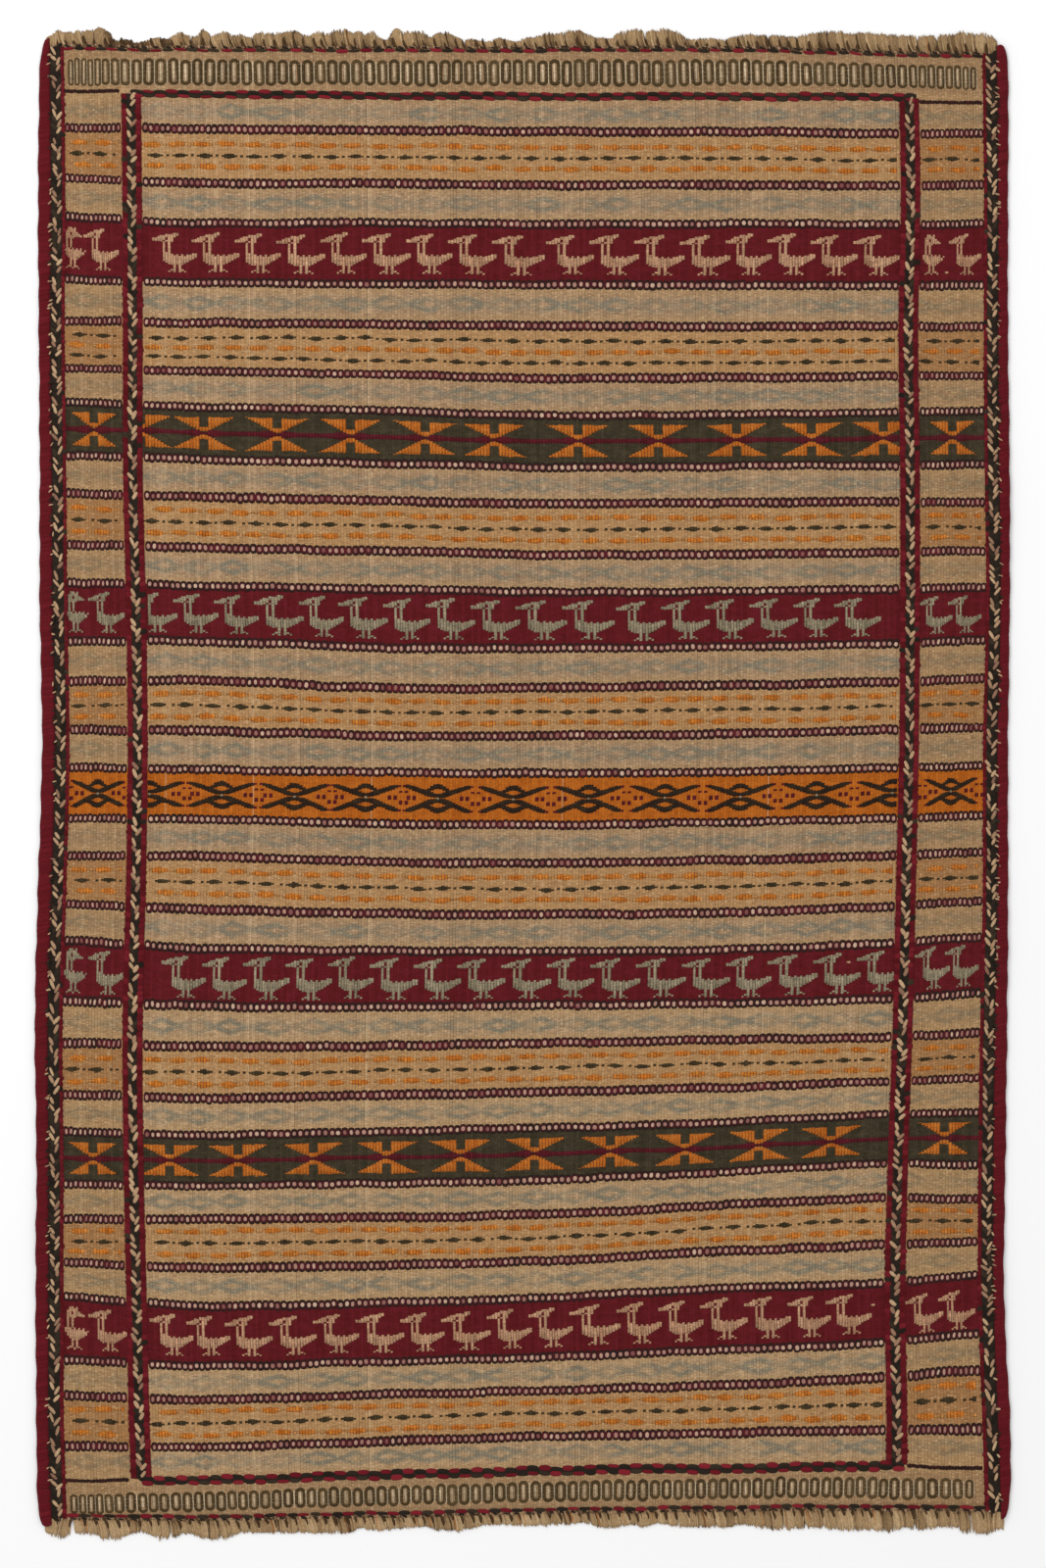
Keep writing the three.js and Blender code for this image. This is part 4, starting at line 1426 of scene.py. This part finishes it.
def makeFringe(end, direction, line, tone, node):
    name = f"{end}_fringe_locks"
    rng = np.random.default_rng(fringe["seed"] + direction)
    tips = np.array(fringeTips[end], float)

    def strands(title, shape, root, out, lean, reach, long=None, **values):
        # Strands from their roots, out millimetres beyond the end line, to a share of the way to the outline
        along = line + weftRise(root, np.full(root.shape, line)) + direction * out
        across = root + warpSway(root, along)
        if long is None:
            tipAlong = along + (np.interp(across + lean, *tips.T) - along) * reach
        else:
            tipAlong = along + direction * long
        return layStrands(name + title, shape, rootAcross=across, rootAlong=along, tipAcross=across + lean,
                          tipAlong=tipAlong, **values)

    wide = fringe["right"] - fringe["left"]
    count = int(round(wide / fringe["pitch"]))
    root = fringe["left"] + (np.arange(count) + 0.5) * wide / count
    root = root + rng.normal(0, 0.8, count)
    lean = -direction * fringe["lean"] * rng.uniform(0.6, 1.25, count)
    lean = np.where(np.abs(root) > 560, lean * 0.3, lean)
    if direction < 0:
        # The bottom left corner's locks fan out under the end of the edge winding
        lean[:3] -= np.array(fringe["cornerLean"])
    level = np.where(np.arange(count) % 2, *reversed(fringe["levels"]))
    tone = rng.normal(tone, 0.09, count)
    if direction > 0:
        low, high = fringe["darkLocks"]
        tone = np.where((root > low) & (root < high), tone - 0.25, tone)
    tone = np.clip(tone, 0, 1)
    parts = [strands("", strandShape(7, 8), root, 1.0, lean, rng.uniform(0.86, 0.95, count), level=level,
                     droop=0.4, wide=fringe["lock"] * rng.uniform(0.9, 1.12, count),
                     thick=fringe["lockThick"], roll=0.04 * rng.choice([-1, 1], count), blunt=0.75, tone=tone,
                     wool=0)]
    each = fringe["strands"]
    total = count * each
    place = np.tile(np.linspace(-1, 1, each), count)
    strandRoot = np.repeat(root, each) + place * 4.4 + rng.normal(0, 0.4, total)
    strandLean = np.repeat(lean, each) + place * 1.6 + rng.normal(0, 0.8, total)
    reach = 0.98 + rng.normal(0, 0.03, total) - 0.06 * place ** 2
    parts.append(strands("_strands", strandShape(4, 5), strandRoot, 1.6, strandLean, reach,
                         level=np.repeat(level, each) + rng.uniform(0.1, 0.8, total), droop=1.0,
                         wide=fringe["strand"] * rng.uniform(0.7, 1.15, total), thick=fringe["strandThick"],
                         roll=rng.normal(0, 0.15, total), blunt=0.86,
                         tone=np.clip(np.repeat(tone, each) + rng.normal(0.04, 0.22, total), 0, 1),
                         wool=rng.random(total) < fringe["rust"]))
    # Dark strands between the locks' roots: painted shade where the locks lap over each other
    shadeStrandWide, shadeStrandLong = fringe["gap"]
    parts.append(strands("_shade_strands", strandShape(4, 5), root + fringe["pitch"] / 2, 2.0, lean * 0.8, 0.5,
                         level=3.0, droop=0.3, wide=shadeStrandWide * rng.uniform(0.6, 1.3, count), thick=2.0, roll=0,
                         blunt=0.3, tone=0.0, wool=0, long=shadeStrandLong * rng.uniform(0.6, 1.1, count)))
    # A row of small twists closes the cloth beyond its end line
    twists = int((wide - 10) / fringe["cordPitch"])
    cordWide, cordLong, cordHigh = fringe["cord"]
    cord = {"u": fringe["left"] + 5 + np.arange(twists) * fringe["cordPitch"],
            "v": line + direction * 4.0 + rng.normal(0, 0.3, twists), "h": -0.4,
            "wide": cordWide * rng.uniform(0.8, 1.2, twists),
            "long": cordLong * rng.uniform(0.8, 1.2, twists), "high": cordHigh,
            "turn": rng.normal(28 * direction, 10, twists), "tone": rng.uniform(0, 1, twists)}
    parts.append(layCopies(name + "_cord", domeShape(8, 2), cord, pick("cordYarn")))
    keepPiece(joinPieces(name, parts), "fringe_wool", node)


# The top fringe's darker tone is painted shade that offsets the lamp's stronger light at the top end
makeFringe("top", 1, 898.0, 0.42, "fringe_top")
makeFringe("bottom", -1, -888.0, 0.58, "fringe_bottom")
print("fringe combed")


# Room: a pale floor, soft light and the view from straight above

room = {"floorSize": 20.0, "floorTone": (255, 255, 255), "skyStrength": 0.8, "lampSize": 2.2,
        "lampPower": 52, "lampPlace": (-1.8, 2.2, 3.0)}
photoFrame = {"tallSide": 1600, "pixel": 1.2, "lens": 120, "film": 36}


def addToRoom(name, data, place=(0, 0, 0)):
    added = bpy.data.objects.new(name, data)
    added.location = place
    bpy.context.scene.collection.objects.link(added)
    return added


def makeFloor():
    bm = bmesh.new()
    bmesh.ops.create_grid(bm, x_segments=1, y_segments=1, size=room["floorSize"] / 2)
    mesh = bpy.data.meshes.new("floor")
    bm.to_mesh(mesh)
    bm.free()
    material = bpy.data.materials.new("paleFloor")
    material.use_nodes = True
    shader = material.node_tree.nodes["Principled BSDF"]
    shader.inputs["Base Color"].default_value = linear(room["floorTone"])
    shader.inputs["Roughness"].default_value = 0.9
    shader.inputs["Specular IOR Level"].default_value = 0.1
    mesh.materials.append(material)
    addToRoom("floor", mesh)


def makeLight():
    world = bpy.data.worlds.new("studio")
    bpy.context.scene.world = world
    world.use_nodes = True
    sky = world.node_tree.nodes["Background"]
    sky.inputs["Color"].default_value = (1, 1, 1, 1)
    sky.inputs["Strength"].default_value = room["skyStrength"]
    lamp = bpy.data.lights.new("softLamp", "AREA")
    lamp.shape = "SQUARE"
    lamp.size = room["lampSize"]
    lamp.energy = room["lampPower"]
    holder = addToRoom("softLamp", lamp, room["lampPlace"])
    holder.rotation_euler = (-Vector(room["lampPlace"])).to_track_quat("-Z", "Y").to_euler()


def makeCamera():
    data = bpy.data.cameras.new("camera")
    data.lens = photoFrame["lens"]
    data.sensor_width = photoFrame["film"]
    data.clip_end = 50
    seen = photoFrame["tallSide"] * photoFrame["pixel"] * mm
    distance = seen * photoFrame["lens"] / photoFrame["film"]
    place = (recentre[0] * mm, recentre[1] * mm, distance + faceHeight * mm)
    bpy.context.scene.camera = addToRoom("camera", data, place)


makeFloor()
makeLight()
makeCamera()
bpy.context.scene.view_settings.view_transform = "Standard"
print("room set")

for piece in pieces:
    print(piece.name, sum(face.loop_total - 2 for face in piece.data.polygons), "triangles")
